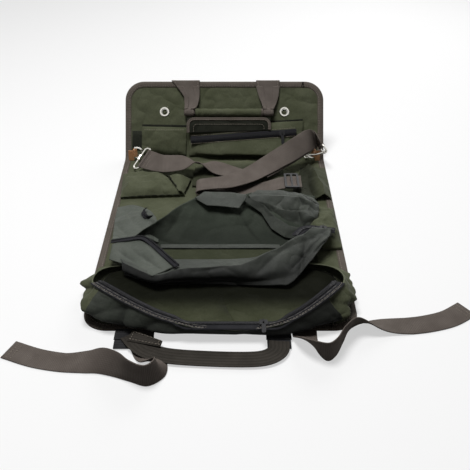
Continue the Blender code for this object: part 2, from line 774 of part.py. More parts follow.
FLAP_HINGE = (GRIP_HEIGHT - 0.0095, GRIP_OFF + 0.0028)
grip_swing = FLAP @ at(0, FLAP_HINGE[0], FLAP_HINGE[1])
grip_frame = frame("grip_flap_frame", top_frame, grip_swing)
cover_low = GRIP_FLAP_LOW - FLAP_HINGE[0]
cover = rounded_box((-0.068, cover_low), (0.084, 0.0), 0.006)
cover = [(x, y + 0.035 * (x + 0.068) * (y < cover_low / 2)) for x, y in cover]
cover_plate = flat_shape([cover], -GRIP_FLAP / 2, GRIP_FLAP / 2)
place("grip_flap", cover_plate, LEATHER, grip_frame, grip_swing)

for side_name, leg_x in (("left", HANDLE_LEFT), ("right", HANDLE_RIGHT)):
    half = HANDLE_WIDTH / 2
    patch = rounded_box((leg_x - half, 0.080), (leg_x + half, 0.139), 0.002)
    plate = flat_shape([patch], ANCHOR_TOP - WEBBING, ANCHOR_TOP)
    place("handle_anchor_" + side_name, plate, WEAVE, flap, FLAP)


# Bottom handle and ties

STUB_END = BOTTOM_EDGE - BOTTOM_STUB_LENGTH
STUB_LOW = WEBBING + 2 * FIT
STUB_HIGH = STUB_LOW + WEBBING
STRAP_NEAR = STUB_END - BOTTOM_LEG_LENGTH
STRAP_FAR = STRAP_NEAR - BOTTOM_HANDLE_WIDTH

for side_name, leg_x in (("left", BOTTOM_LEG_LEFT), ("right", BOTTOM_LEG_RIGHT)):
    half = BOTTOM_LEG_WIDTH / 2
    low, high = (leg_x - half, STUB_END), (leg_x + half, BOTTOM_EDGE - FIT)
    stub = flat_shape([rounded_box(low, high, 0.001)], STUB_LOW, STUB_HIGH)
    place("bottom_anchor_" + side_name, stub, BLACK_WEAVE, lower)

bottom_swing = at(0, STUB_END - 0.0014, (STUB_LOW + STUB_HIGH) / 2)
bottom_frame = frame("bottom_handle_frame", lower, bottom_swing)
half = BOTTOM_LEG_WIDTH / 2
inner_left, inner_right = BOTTOM_LEG_LEFT + half, BOTTOM_LEG_RIGHT - half
outer_left, outer_right = BOTTOM_LEG_LEFT - half, BOTTOM_LEG_RIGHT + half
top_y = STUB_END - FIT
bottom_outline = [(outer_left, top_y), (inner_left, top_y)]
bottom_outline += arc((inner_left + 0.006, STRAP_NEAR + 0.006), 0.006, 180, 270, 3)
bottom_outline += arc((inner_right - 0.006, STRAP_NEAR + 0.006), 0.006, 270, 360, 3)
bottom_outline += [(inner_right, top_y), (outer_right, top_y)]
bottom_outline += arc((outer_right - 0.016, STRAP_FAR + 0.016), 0.016, 0, -90, 4)
bottom_outline += arc((outer_left + 0.016, STRAP_FAR + 0.016), 0.016, 270, 180, 4)
bottom_plate = flat_shape([bottom_outline], STUB_LOW, STUB_HIGH)
place("bottom_handle", bottom_plate, WEAVE, bottom_frame)

LEFT_TIE = [
    (TIE_LEFT, -0.0011, 0), (TIE_LEFT, -0.0195, 0), (TIE_LEFT, -0.0435, 0),
    (TIE_LEFT, -0.0695, 0), (-0.0770, -0.0865, 40), (-0.0940, -0.0925, 55),
    (-0.1120, -0.0835, 35), (-0.1350, -0.0715, 0), (-0.1600, -0.0675, 0),
    (-0.1920, -0.0645, 0), (-0.2250, -0.0555, 0), (-0.2620, -0.0375, 0),
]
RIGHT_TIE = [
    (TIE_RIGHT, -0.0011, 0), (TIE_RIGHT, -0.0175, 0), (0.1150, -0.0375, 10),
    (0.1300, -0.0505, 50), (0.1480, -0.0435, 60), (0.1650, -0.0235, 40),
    (0.1900, -0.0055, 20), (0.2150, 0.0035, 0), (0.2450, 0.0085, 0),
    (0.2720, 0.0135, 0), (0.3000, 0.0235, 0), (0.3280, 0.0425, 0),
]
for side_name, route in (("left", LEFT_TIE), ("right", RIGHT_TIE)):
    route = [moved(station, BOTTOM_EDGE) for station in route]
    root = at(route[0][0], route[0][1], WEBBING / 2 + FIT)
    tie_frame = frame("tie_" + side_name + "_frame", lower, root)
    place("tie_" + side_name, lying_strap(route, TIE_WIDTH), WEAVE, tie_frame)


# Shoulder strap and its hardware

RING_Y = UPPER_FOLD - RING_FROM_BEND
RING_FOOT = 0.0100
RING_HEAD = 0.0290
LIFT = at(0, RING_Y, RING_FOOT)
strap_frame = frame("strap_frame", upper, LIFT)


def on_curve(side, degrees):
    """A point on the round side of the D."""
    across, up = math.cos(math.radians(degrees)), math.sin(math.radians(degrees))
    middle_z, tall = (RING_FOOT + RING_HEAD) / 2, (RING_HEAD - RING_FOOT) / 2
    return (side * (RING_BAR - 0.003 - 0.0105 * across), RING_Y, middle_z + tall * up)


def d_ring(side):
    """A D of wire standing in the plane across the roll, its curve towards the middle."""
    path = [on_curve(side, degrees) for degrees in range(-90, 91, 15)]
    path += [(side * RING_BAR, RING_Y, RING_HEAD), (side * RING_BAR, RING_Y, RING_FOOT)]
    return wire(path, RING_WIRE, cyclic=True)


for side_name, side in (("left", -1), ("right", 1)):
    place("d_ring_" + side_name, d_ring(side), NICKEL, upper)
    eye = tube(RING_WIRE + FIT + TAB_THICKNESS, RING_WIRE + FIT, 0.013)
    eye.transform(Matrix.Rotation(math.pi / 2, 4, "Y"))
    eye.transform(at(side * RING_BAR, RING_Y, (RING_FOOT + RING_HEAD) / 2))
    tab = place("leather_tab_" + side_name, eye, LEATHER, upper)
    inner = RING_BAR + RING_WIRE + FIT + TAB_THICKNESS / 3
    edges = sorted((side * inner, side * (RING_BAR + 0.0125)))
    thick = TAB_THICKNESS / 2
    body = box((edges[0], RING_Y - thick, UPPER_BASE), (edges[1], RING_Y + thick, RING_HEAD - 0.006))
    combine(tab, body, "UNION")


def unit(vector):
    return np.array(vector) / np.linalg.norm(vector)


# Each loop: where its strap bar lies, the bar's direction and the way the strap leaves
LOOPS = {
    "left": ((-0.1402, -0.0375, 0.0220), (0.481, 0.735, 0.478), (0.786, -0.606, 0.124)),
    "right": ((0.1720, -0.0185, 0.0370), (0.0, 0.829, -0.559), (-0.600, 0.447, 0.663)),
}
LEFT_RUN = [
    (-0.1050, -0.0645, 0.0275, -0.05, 0.91, 0.40), (-0.0710, -0.0598, 0.0265, -0.05, 0.97, 0.20),
    (-0.0436, -0.0675, 0.0300, 0.05, 0.84, -0.54), (-0.0180, -0.0688, 0.0235, 0.12, 0.99, 0.03),
    (0.0080, -0.0795, 0.0205, 0.50, 0.86, 0.0), (0.0300, -0.0925, 0.0198, 0.62, 0.78, 0.0),
]
RIGHT_RUN = [
    (0.1610, -0.0115, 0.0475, -0.20, -0.20, 0.95), (0.1440, -0.0234, 0.0485, -0.28, 0.53, 0.79),
    (0.1247, -0.0380, 0.0430, -0.25, 0.60, 0.75), (0.0964, -0.0565, 0.0345, -0.35, 0.80, 0.48),
    (0.0640, -0.0845, 0.0285, -0.60, 0.77, 0.20), (0.0400, -0.1035, 0.0255, -0.50, 0.85, 0.12),
    (0.0093, -0.1205, 0.0240, -0.30, 0.93, 0.05), (-0.0157, -0.1235, 0.0225, 0.0, 1.0, 0.0),
    (-0.0390, -0.1225, 0.0185, 0.0, 1.0, 0.0), (-0.0452, -0.1225, 0.0138, 0.0, 1.0, 0.0),
    (-0.0400, -0.1225, 0.0095, 0.0, 1.0, 0.0), (-0.0250, -0.1230, 0.0080, 0.0, 1.0, 0.0),
    (0.0030, -0.1265, 0.0080, 0.05, 1.0, 0.0), (0.0325, -0.1290, 0.0090, 0.0, 1.0, 0.05),
    (0.0560, -0.1275, 0.0125, 0.0, 1.0, 0.0), (0.0780, -0.1245, 0.0170, 0.0, 1.0, 0.0),
    (0.0960, -0.1215, 0.0212, 0.0, 1.0, 0.0), (0.1130, -0.1195, 0.0222, 0.0, 1.0, 0.0),
    (0.1300, -0.1175, 0.0222, 0.0, 1.0, 0.0),
]


def loop_wire(centre, bar, away):
    """A rectangle of wire: one long side holds the strap, the other the hook."""
    centre, bar, away = np.array(centre), unit(bar), unit(away)
    back = centre - away * LOOP_DEPTH
    reach, cut = bar * LOOP_LENGTH / 2, 0.003
    near, far = centre + reach, centre - reach
    path = [near - away * cut, near - bar * cut, far + bar * cut, far - away * cut]
    near, far = back + reach, back - reach
    path += [far + away * cut, far + bar * cut, near - bar * cut, near + away * cut]
    return wire([tuple(p) for p in path], LOOP_WIRE, cyclic=True)


def along_bar(mesh, centre, bar):
    """Turns a tube drawn along X on to a bar."""
    turn = ALONG_X.rotation_difference(Vector(bar)).to_matrix().to_4x4()
    mesh.transform(Matrix.Translation(centre) @ turn)
    return mesh


def strap_run(name, side_name, stations, width):
    centre, bar, away = (np.array(v) for v in LOOPS[side_name])
    bar, away = unit(bar), unit(away)
    first = np.array(stations[0][3:6])
    across = bar if np.dot(bar, first) >= 0 else -bar
    start = centre + away * (LOOP_WIRE + FIT + WEBBING / 2)
    route = [(*start, *across)] + stations
    eye = tube(LOOP_WIRE + FIT + WEBBING, LOOP_WIRE + FIT, width)
    made = place(name, webbing(route, width), WEAVE, strap_frame)
    combine(made, along_bar(eye, centre, bar), "UNION")
    bore = tube(LOOP_WIRE + FIT, LOOP_WIRE / 2, width + 2 * WEBBING)
    return combine(made, along_bar(bore, centre, bar), "DIFFERENCE")


def hook(side_name, side):
    """A closed hook: a tube round the loop's bar, a shank, and a ring round the D."""
    centre, bar, away = (np.array(v) for v in LOOPS[side_name])
    bar, away = unit(bar), unit(away)
    back = centre - away * LOOP_DEPTH
    hang = np.array(on_curve(side, HOOK_AT[side_name]))
    eye = tube(LOOP_WIRE + FIT + HOOK_WIRE, LOOP_WIRE + FIT, 0.009)
    made = place("hook_" + side_name, along_bar(eye, back, bar), NICKEL, strap_frame)
    way = unit(back - hang)
    flat = unit(np.cross(way, (1.0, 0.0, 0.0)))
    reach = RING_WIRE + FIT + 2 * HOOK_WIRE
    ring_path = []
    for a in np.linspace(0, math.tau, 16, endpoint=False):
        ring_path.append(tuple(hang + way * reach * math.cos(a) + flat * reach * math.sin(a)))
    combine(made, wire(ring_path, HOOK_WIRE, cyclic=True), "UNION")
    start = hang + way * reach
    end = back - way * (LOOP_WIRE + FIT + HOOK_WIRE / 2)
    bend = (start + end) / 2 - np.array((0.0, 0.0035, 0.0))
    shank = wire([tuple(start), tuple(bend), tuple(end)], HOOK_WIRE * 1.3)
    return combine(made, shank, "UNION")


for side_name, side in (("left", -1), ("right", 1)):
    centre, bar, away = LOOPS[side_name]
    LOOPS[side_name] = (moved(centre, UPPER_FOLD), bar, away)
    place("loop_" + side_name, loop_wire(*LOOPS[side_name]), NICKEL, strap_frame)
    hook(side_name, side)
inside = LOOP_LENGTH - 2 * LOOP_WIRE - 4 * FIT
for side_name, route in (("left", LEFT_RUN), ("right", RIGHT_RUN)):
    route = [moved(station, UPPER_FOLD) for station in route]
    strap_run("strap_" + side_name + "_run", side_name, route, min(STRAP_WIDTH, inside))

tail = RIGHT_RUN[-2]
adjuster_z = tail[2] + WEBBING / 2 + FIT
near, far = UPPER_FOLD + tail[1] - ADJUSTER_HEIGHT / 2, UPPER_FOLD + tail[1] + ADJUSTER_HEIGHT / 2
start = tail[0] - 0.0115
plate = rounded_box((start, near), (start + ADJUSTER_WIDTH, far), 0.003)
slots = []
for left_x in (start + 0.0035, start + ADJUSTER_WIDTH / 2 + 0.0015):
    right_x = left_x + ADJUSTER_WIDTH / 2 - 0.005
    low, high = near + 0.004, far - 0.004
    slots.append([(left_x, low), (right_x, low), (right_x, high), (left_x, high)])
adjuster = flat_shape([plate] + slots, adjuster_z, adjuster_z + ADJUSTER)
place("strap_adjuster", adjuster, BLACK_PLASTIC, strap_frame)
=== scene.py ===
"""Looks of the canvas tool roll: cloth, webbing, leather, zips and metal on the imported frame."""
import math

import bpy
import numpy as np
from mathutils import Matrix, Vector


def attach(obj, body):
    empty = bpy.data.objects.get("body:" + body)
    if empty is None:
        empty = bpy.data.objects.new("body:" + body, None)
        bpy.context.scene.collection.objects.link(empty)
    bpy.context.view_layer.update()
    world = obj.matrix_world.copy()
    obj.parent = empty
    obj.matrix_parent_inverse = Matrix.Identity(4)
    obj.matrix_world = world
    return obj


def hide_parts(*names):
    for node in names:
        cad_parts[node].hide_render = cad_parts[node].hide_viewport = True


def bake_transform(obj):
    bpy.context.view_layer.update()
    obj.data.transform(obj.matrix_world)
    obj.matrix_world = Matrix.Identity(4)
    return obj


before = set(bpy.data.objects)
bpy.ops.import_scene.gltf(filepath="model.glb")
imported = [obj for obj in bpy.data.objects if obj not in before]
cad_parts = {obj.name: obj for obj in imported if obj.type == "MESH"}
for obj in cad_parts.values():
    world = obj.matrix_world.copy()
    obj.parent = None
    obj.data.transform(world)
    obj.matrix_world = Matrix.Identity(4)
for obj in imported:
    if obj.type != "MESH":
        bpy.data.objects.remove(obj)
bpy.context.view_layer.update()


# The roll's cloth: three canvas pieces, each laid across one fold, that meet half way along the
# middle and the upper section; the flap's piece is bent over its fold. Each fills the frame's 3 mm
# with soft waves of half a millimetre, and its edges lie a little inside the tape that holds them.

HALF = 0.180
CORNER = 0.034
LOW_END, LOW_FOLD, MID_FOLD, TOP_FOLD = -0.2325, -0.0775, 0.0775, 0.2325
SEAM = 0.155
FLAP_END = TOP_FOLD + 0.140
CURL = math.radians(56)
CLOTH = 0.003
DRAWN = 0.0027
INSET = 0.0007
EYES = [(-0.109, 0.085), (0.109, 0.085)]
HOLE = 0.0061


def new_material(name):
    made = bpy.data.materials.new(name)
    made.use_nodes = True
    tree = made.node_tree
    return made, tree, tree.nodes["Principled BSDF"]


def feed(tree, socket, value):
    """Puts a number, a colour or another node's output into a socket."""
    if isinstance(value, bpy.types.NodeSocket):
        tree.links.new(value, socket)
    else:
        socket.default_value = (*value, 1.0) if isinstance(value, tuple) else value


def node(tree, kind, **values):
    """A shader node with its properties set and its inputs fed, spaces written as underscores."""
    made = tree.nodes.new(kind)
    for key, value in values.items():
        if hasattr(made, key):
            setattr(made, key, value)
        else:
            feed(tree, made.inputs[key.replace("_", " ")], value)
    return made


def surface(tree, shader, **values):
    for key, value in values.items():
        feed(tree, shader.inputs[key.replace("_", " ")], value)


def mix(tree, factor, a, b, blend="MIX"):
    made = node(tree, "ShaderNodeMix", data_type="RGBA", blend_type=blend)
    for socket, value in ((0, factor), (6, a), (7, b)):
        feed(tree, made.inputs[socket], value)
    return made.outputs[2]


def calc(tree, operation, *values):
    made = node(tree, "ShaderNodeMath", operation=operation)
    for socket, value in zip(made.inputs, values):
        feed(tree, socket, value)
    return made.outputs[0]


def coordinates(tree):
    """The object's own place in metres, and its texture coordinates."""
    made = tree.nodes.new("ShaderNodeTexCoord")
    return made.outputs["Object"], made.outputs["UV"]


def noise(tree, where, scale, detail=4.0):
    made = node(tree, "ShaderNodeTexNoise", Vector=where, Scale=scale, Detail=detail)
    return made.outputs["Fac"]


def ramp(tree, factor, low, high, kind="LINEAR"):
    """Factor stretched so that low gives 0 and high gives 1."""
    made = node(tree, "ShaderNodeMapRange", interpolation_type=kind, Value=factor, From_Min=low,
                From_Max=high)
    return made.outputs["Result"]


def wave(tree, where, pitch, direction, distortion=0.0):
    """Light and dark bands by turns, each about a pitch in metres wide."""
    band_at_scale_one = 0.155
    made = node(tree, "ShaderNodeTexWave", bands_direction=direction, Vector=where,
                Scale=band_at_scale_one / pitch, Distortion=distortion)
    return made.outputs["Fac"]


def bump(tree, shader, height, strength, distance, under=None):
    made = node(tree, "ShaderNodeBump", Height=height, Strength=strength, Distance=distance)
    if under is not None:
        feed(tree, made.inputs["Normal"], under)
    feed(tree, shader.inputs["Normal"], made.outputs["Normal"])
    return made.outputs["Normal"]


def dimmed(colour, share):
    return tuple(share * c for c in colour)


def canvas(name, colour, worn, roughness=0.8, gloss=0.12, painted_shading=()):
    """Waxed canvas: plain weave, blotches of wear, and fine handling creases.

    painted_shading = rows of (axis 0 to 2, where the cloth is plain, where it is darkest, the
    darkest share): painted shade darkens it along that axis of the object. The mesh's hollows are
    darkened too, as painted shade in its creases.
    """
    made, tree, shader = new_material(name)
    place, uv = coordinates(tree)
    blotch = ramp(tree, noise(tree, place, 28.0, 5.0), 0.35, 0.72)
    speck = ramp(tree, noise(tree, place, 420.0, 3.0), 0.30, 0.75)
    base = mix(tree, blotch, colour, worn)
    base = mix(tree, calc(tree, "MULTIPLY", speck, 0.45), base, dimmed(colour, 0.62))
    # painted shade, darker along each given axis
    for axis, plain, darkest, share in painted_shading:
        split = node(tree, "ShaderNodeSeparateXYZ", Vector=place)
        fall = ramp(tree, split.outputs[axis], plain, darkest, "SMOOTHSTEP")
        base = mix(tree, fall, base, mix(tree, 1.0, base, (share, share, share), "MULTIPLY"))
    # painted shade: the cloth is darkened in the mesh's creases
    hollow = node(tree, "ShaderNodeAttribute", attribute_name="hollow").outputs["Fac"]
    base = mix(tree, calc(tree, "MULTIPLY", hollow, 0.80), base, dimmed(colour, 0.25))
    surface(tree, shader, Base_Color=base, Roughness=roughness, Specular_IOR_Level=gloss,
            Sheen_Weight=0.02)
    fold = calc(tree, "ABSOLUTE", calc(tree, "SUBTRACT", noise(tree, place, 17.0, 2.5), 0.5))
    under = bump(tree, shader, fold, 0.55, 0.030)
    under = bump(tree, shader, noise(tree, place, 60.0, 6.0), 0.45, 0.0022, under)
    weave = calc(tree, "MAXIMUM", *(wave(tree, uv, 0.0009, way) for way in "XY"))
    bump(tree, shader, weave, 0.35, 0.00025, under)
    return made


OLIVE = canvas("olive_canvas", (0.060, 0.066, 0.037), (0.080, 0.086, 0.053))


def mesh_object(name, points, faces, material, uvs=None, smooth=True):
    """A mesh piece; uvs holds one pair for each corner in face order."""
    mesh = bpy.data.meshes.new(name)
    mesh.from_pydata([tuple(p) for p in points], [], faces)
    if uvs is not None:
        layer = mesh.uv_layers.new(name="UVMap")
        layer.data.foreach_set("uv", np.asarray(uvs, np.float32).ravel())
    mesh.polygons.foreach_set("use_smooth", [smooth] * len(mesh.polygons))
    mesh.materials.append(material)
    mesh.update()
    made = bpy.data.objects.new(name, mesh)
    bpy.context.scene.collection.objects.link(made)
    return made


def run_of(line):
    """How far along a line each of its points lies."""
    return np.concatenate([[0], np.cumsum(np.linalg.norm(np.diff(line, axis=0), axis=1))])


def lengths(grid):
    """Texture coordinates in metres: the mean run of the rows and of the columns."""
    down = np.linalg.norm(np.diff(grid, axis=0), axis=2).mean(axis=1)
    over = np.linalg.norm(np.diff(grid, axis=1), axis=2).mean(axis=0)
    v, u = (np.concatenate([[0.0], np.cumsum(steps)]) for steps in (down, over))
    return np.stack(np.meshgrid(u, v), -1)


def normals(grid):
    face = np.cross(np.gradient(grid, axis=1), np.gradient(grid, axis=0))
    return face / np.maximum(np.linalg.norm(face, axis=2, keepdims=True), 1e-12)


def hollows(grid, face, wrap=False):
    """How far each point of a cloth lies below its neighbours: 0 on ridges, 1 in sharp creases.

    It is the gap to the mean of the four points around it over their distance, at two distances,
    stretched so that a gap of one part in seven counts as sharp.
    """
    total = np.zeros(grid.shape[:2])
    rows, cols = grid.shape[:2]
    for step in (2, 4):
        p = np.pad(grid, ((step, step), (0, 0), (0, 0)), mode="edge")
        p = np.pad(p, ((0, 0), (step, step), (0, 0)), mode="wrap" if wrap else "edge")
        before, after = p[:rows, step:-step], p[2 * step:, step:-step]
        left, right = p[step:-step, :cols], p[step:-step, 2 * step:]
        gap = (before + after + left + right) / 4 - grid
        span = np.linalg.norm(after - before, axis=2) + np.linalg.norm(right - left, axis=2)
        total += np.sum(gap * face, -1) / np.maximum(span, 1e-6)
    return np.clip(total * 7 - 0.05, 0, 1)


def mark_hollows(made, values):
    field = made.data.attributes.new("hollow", "FLOAT", "POINT")
    field.data.foreach_set("value", np.asarray(values, np.float32).ravel())


def sheet(name, grid, material, thickness):
    """Cloth of the given thickness under a grid of points, with a closed rim.

    Each point of the back lies the thickness behind its point of the face.
    """
    grid = np.asarray(grid, float)
    rows, cols = grid.shape[:2]
    count = rows * cols
    face = normals(grid)
    points = np.stack([grid, grid - face * thickness]).reshape(-1, 3)
    index = np.arange(count).reshape(rows, cols)
    uv = np.tile(lengths(grid).reshape(-1, 2), (2, 1))
    a, b = index[:-1, :-1].ravel(), index[:-1, 1:].ravel()
    c, d = index[1:, 1:].ravel(), index[1:, :-1].ravel()
    top, low = np.stack([a, b, c, d], 1), np.stack([d, c, b, a], 1) + count
    rim = np.concatenate([index[0], index[1:, -1], index[-1, -2::-1], index[-2:0:-1, 0]])
    after = np.roll(rim, -1)
    side = np.stack([after, rim, rim + count, after + count], 1)
    faces = np.concatenate([top, low, side])
    made = mesh_object(name, points, faces.tolist(), material, uv[faces.ravel()])
    if rows > 8 and cols > 8:
        depth = hollows(grid, face)
        mark_hollows(made, np.stack([depth, depth]))
    return made


def crumple(p, size, seed):
    """Soft uneven folds between -1 and 1: a sum of warped sine ridges in turned directions."""
    p = np.asarray(p, float)
    total, weights = np.zeros(p.shape[:-1]), 0
    golden_angle = 2.399963
    for k in range(6):
        turn = golden_angle * (k + 1) + 1.7 * seed
        lean = 0.9 * math.sin(3.1 * k + seed)
        way = np.array([math.cos(turn), math.sin(turn), lean])
        span = size * (0.55 + 0.5 * ((k * 0.618 + seed * 0.37) % 1.0))
        phase = p @ way / span + 1.3 * math.sin(seed + 2.0 * k)
        side = p @ np.array([-way[1], way[0], 0.5]) / (span * 1.9)
        weight = 1 / (1 + 0.35 * k)
        total += (1 - 2 * np.abs(np.sin(phase + 0.9 * np.sin(side + k)))) * weight
        weights += weight
    return total / weights


def level_crumple(x, y, size, seed):
    return crumple(np.stack([x, y, 0 * x], -1), size, seed)


def ease(x, low, high):
    t = np.clip((np.asarray(x, float) - low) / (high - low), 0, 1)
    return t * t * (3 - 2 * t)


def flat_cloth(low, high, end, way, seed, columns=150, rows=90):
    """Laid cloth between two heights, uneven but nowhere below the flat.

    Where end is given, way is +1 or -1 towards it, its corners are round and its rows get closer.
    """
    y, width = np.linspace(low, high, rows), np.full(rows, HALF)
    if end is not None:
        share = np.linspace(0, 1, rows)
        y = low + (high - low) * (1 - (1 - share) ** 1.5 if way > 0 else share**1.5)
        y = np.maximum(y, end) if way < 0 else np.minimum(y, end)
        into = np.clip(CORNER - way * (end - y), 0, CORNER)
        width = HALF - CORNER + np.sqrt(CORNER**2 - into**2)
    x = np.linspace(-1, 1, columns)[None, :] * (width[:, None] - INSET)
    y = np.repeat(y[:, None], columns, 1)
    waves = 0.6 + 0.5 * level_crumple(x, y, 0.030, seed)
    waves += 0.3 * level_crumple(x, y, 0.011, seed + 5)
    return np.stack([x, y, CLOTH - 0.0004 + 0.0005 * waves], -1)


lower_cloth = sheet("lower_cloth", flat_cloth(LOW_END + INSET, 0, LOW_END, -1, 1), OLIVE, DRAWN)
fold_cloth = sheet("fold_cloth", flat_cloth(0, SEAM, None, 0, 2), OLIVE, DRAWN)
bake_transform(lower_cloth)
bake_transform(fold_cloth)
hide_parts("lower_panel")
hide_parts("middle_panel")


def flap_point(p):
    """Points of the flap's own plane (across, along, off the face) to the roll's frame."""
    p = np.asarray(p, float)
    c, s = math.cos(CURL), math.sin(CURL)
    x, along, off = p[..., 0], p[..., 1], p[..., 2]
    return np.stack([x, TOP_FOLD + along * c - off * s, CLOTH + along * s + off * c], -1)


def curled(grid):
    """Bends a flat run of cloth about the top fold, over a short soft curve, by the curl."""
    grid = np.asarray(grid, float)
    x, y, z = grid[..., 0], grid[..., 1], grid[..., 2] - CLOTH
    reach = 0.011
    c, sine = math.cos(CURL), math.sin(CURL)
    s = y - TOP_FOLD
    soft = ease(s, -reach, reach)
    steps = np.linspace(-reach, reach, 60)
    heading = CURL * ease(steps, -reach, reach)[:-1]
    dy = np.concatenate([[0], np.cumsum(np.cos(heading) * np.diff(steps))])
    dz = np.concatenate([[0], np.cumsum(np.sin(heading) * np.diff(steps))])
    past = np.maximum(s - reach, 0)
    py = np.interp(s, steps, dy) - reach + np.minimum(s + reach, 0) + past * c
    pz = np.interp(s, steps, dz) + past * sine
    # the soft curve ends on the flap's own plane
    py, pz = py + (reach * c - dy[-1] + reach) * soft, pz + (reach * sine - dz[-1]) * soft
    turn = CURL * soft
    return np.stack([x, TOP_FOLD + py - np.sin(turn) * z, CLOTH + pz + np.cos(turn) * z], -1)


def cut_holes(made, places, radius):
    """Bores round holes through a cloth at places on the flap's plane."""
    for x, along in places:
        centre = flap_point((x, along, -0.0015))
        bpy.ops.mesh.primitive_cylinder_add(vertices=32, radius=radius, depth=0.02, location=centre)
        cutter = bpy.context.object
        cutter.rotation_euler = (CURL, 0, 0)
        bpy.context.view_layer.update()
        tool = made.modifiers.new("hole", "BOOLEAN")
        tool.operation, tool.solver, tool.object = "DIFFERENCE", "EXACT", cutter
        deps = bpy.context.evaluated_depsgraph_get()
        bored = bpy.data.meshes.new_from_object(made.evaluated_get(deps))
        made.modifiers.clear()
        made.data = bored
        bpy.data.objects.remove(cutter)


top_grid = curled(flat_cloth(SEAM, FLAP_END - INSET, FLAP_END, 1, 3, 150, 130))
flap_cloth = sheet("flap_cloth", top_grid, OLIVE, DRAWN)
cut_holes(flap_cloth, EYES, HOLE)
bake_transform(flap_cloth)
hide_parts("upper_panel", "flap_panel")


# The binding: grosgrain folded over every outer edge, 11 mm wide on both faces, with one row of
# stitches near its inner edge. It is a little uneven in width and stands proud of the cloth.

BIND = 0.0108


def ribbed(name, colour, worn, pitch=0.0020, depth=0.0004, way="X"):
    """Webbing and grosgrain: ribs across or along, fine yarns the other way, a little wear."""
    made, tree, shader = new_material(name)
    place, uv = coordinates(tree)
    rib = wave(tree, uv, pitch, way, 0.3)
    yarn = wave(tree, uv, 0.0012, "Y" if way == "X" else "X", 0.2)
    base = mix(tree, ramp(tree, noise(tree, place, 45.0), 0.3, 0.75), colour, worn)
    # painted shade: the grooves between the ribs are darkened
    groove_shade = calc(tree, "MULTIPLY", ramp(tree, rib, 0.6, 0.0), 0.35)
    base = mix(tree, groove_shade, base, dimmed(colour, 0.45))
    surface(tree, shader, Base_Color=base, Roughness=0.85, Specular_IOR_Level=0.10)
    bump(tree, shader, yarn, 0.3, 0.0002, bump(tree, shader, rib, 0.6, depth))
    return made


def metal(name, colour, roughness, metallic=1.0):
    """Metal, hard plastic or thread, with fine uneven wear."""
    made, tree, shader = new_material(name)
    wear = noise(tree, coordinates(tree)[0], 900.0)
    spread = node(tree, "ShaderNodeMapRange", Value=wear, To_Min=roughness, To_Max=roughness + 0.15)
    surface(tree, shader, Base_Color=colour, Roughness=spread.outputs["Result"], Metallic=metallic,
            Specular_IOR_Level=0.5 if metallic > 0.5 else 0.16)
    bump(tree, shader, wear, 0.08, 0.0002)
    return made


BINDING = ribbed("taupe_binding", (0.088, 0.074, 0.062), (0.112, 0.096, 0.082), 0.0014)
GREY_THREAD = metal("taupe_thread", (0.20, 0.175, 0.145), 0.7, 0.0)


def tube(name, rings, material, capped=True):
    """A closed skin through rings of points, each ring running the same way round."""
    rings = np.asarray(rings, float)
    count, around = rings.shape[:2]
    index = np.arange(count * around).reshape(count, around)
    nxt = np.roll(index, -1, axis=1)
    faces = np.stack([index[:-1], nxt[:-1], nxt[1:], index[1:]], -1).reshape(-1, 4).tolist()
    step = np.linalg.norm(np.roll(rings, -1, 1) - rings, axis=2).mean(0)
    turn = np.concatenate([[0], np.cumsum(step)])
    uv = np.stack(np.meshgrid(run_of(rings.mean(1)), turn, indexing="ij"), -1)
    corners = np.stack([uv[:-1, :-1], uv[:-1, 1:], uv[1:, 1:], uv[1:, :-1]], 2).reshape(-1, 2)
    if capped:
        faces += [index[0][::-1].tolist(), index[-1].tolist()]
        corners = np.concatenate([corners, uv[0, :-1], uv[-1, :-1]])
    return mesh_object(name, rings.reshape(-1, 3), faces, material, corners)


def joined(name, objects):
    """One piece of several meshes; each keeps its own material."""
    with bpy.context.temp_override(
        active_object=objects[0], selected_editable_objects=objects, object=objects[0]
    ):
        bpy.ops.object.join()
    objects[0].name = name
    return objects[0]


def unit(v):
    v = np.asarray(v, float)
    return v / np.linalg.norm(v, axis=-1, keepdims=True)


def sampled(at, run, values):
    """Rows of values, each taken at a length along their line."""
    return np.stack([np.interp(at, run, column) for column in np.asarray(values).T], 1)


def stitches(name, path, up, material=GREY_THREAD, stitch=0.0032, space=0.0011, radius=0.00042):
    """A row of short rounded stitches along a line, half sunk in the face below it."""
    path = np.asarray(path, float)
    up = np.broadcast_to(np.asarray(up, float), path.shape)
    run = run_of(path)
    fat = np.array([0.35, 1.0, 1.0, 0.35])
    angles = np.linspace(0, math.tau, 6, endpoint=False)
    points, faces = [], []
    for s in np.arange(0.001, run[-1] - stitch, stitch + space):
        at = s + np.linspace(0, 1, 4) * stitch
        line, high = sampled(at, run, path), unit(sampled(at, run, up))
        side = np.cross(unit(np.gradient(line, axis=0)), high)
        first = len(points)
        for c, h, w, f in zip(line, high, side, fat):
            for a in angles:
                points.append(c + radius * f * (math.cos(a) * w + 0.8 * math.sin(a) * h))
        for r in range(3):
            for k in range(6):
                i, j = first + 6 * r + k, first + 6 * r + (k + 1) % 6
                faces.append((i, i + 6, j + 6, j))
        faces.append(tuple(first + k for k in range(6)))
        faces.append(tuple(first + 18 + k for k in range(5, -1, -1)))
    return mesh_object(name, points, faces, material)


def end_edge(start, end, way):
    """A bound edge down one side, round the roll's end and up the other, with the way inwards."""
    straight = np.linspace(start, end - way * CORNER, 60)
    line = [(-HALF, v) for v in straight]
    inward = [(1.0, 0.0)] * len(straight)
    for a in np.linspace(0, math.pi / 2, 16)[1:]:
        line.append((-HALF + CORNER * (1 - math.cos(a)), end - way * CORNER * (1 - math.sin(a))))
        inward.append((math.cos(a), -way * math.sin(a)))
    for x in np.linspace(-HALF + CORNER, HALF - CORNER, 90)[1:-1]:
        line.append((x, end))
        inward.append((0.0, -way))
    line += [(-x, v) for x, v in reversed(line[:76])]
    inward += [(-x, v) for x, v in reversed(inward[:76])]
    return np.array(line), np.array(inward)


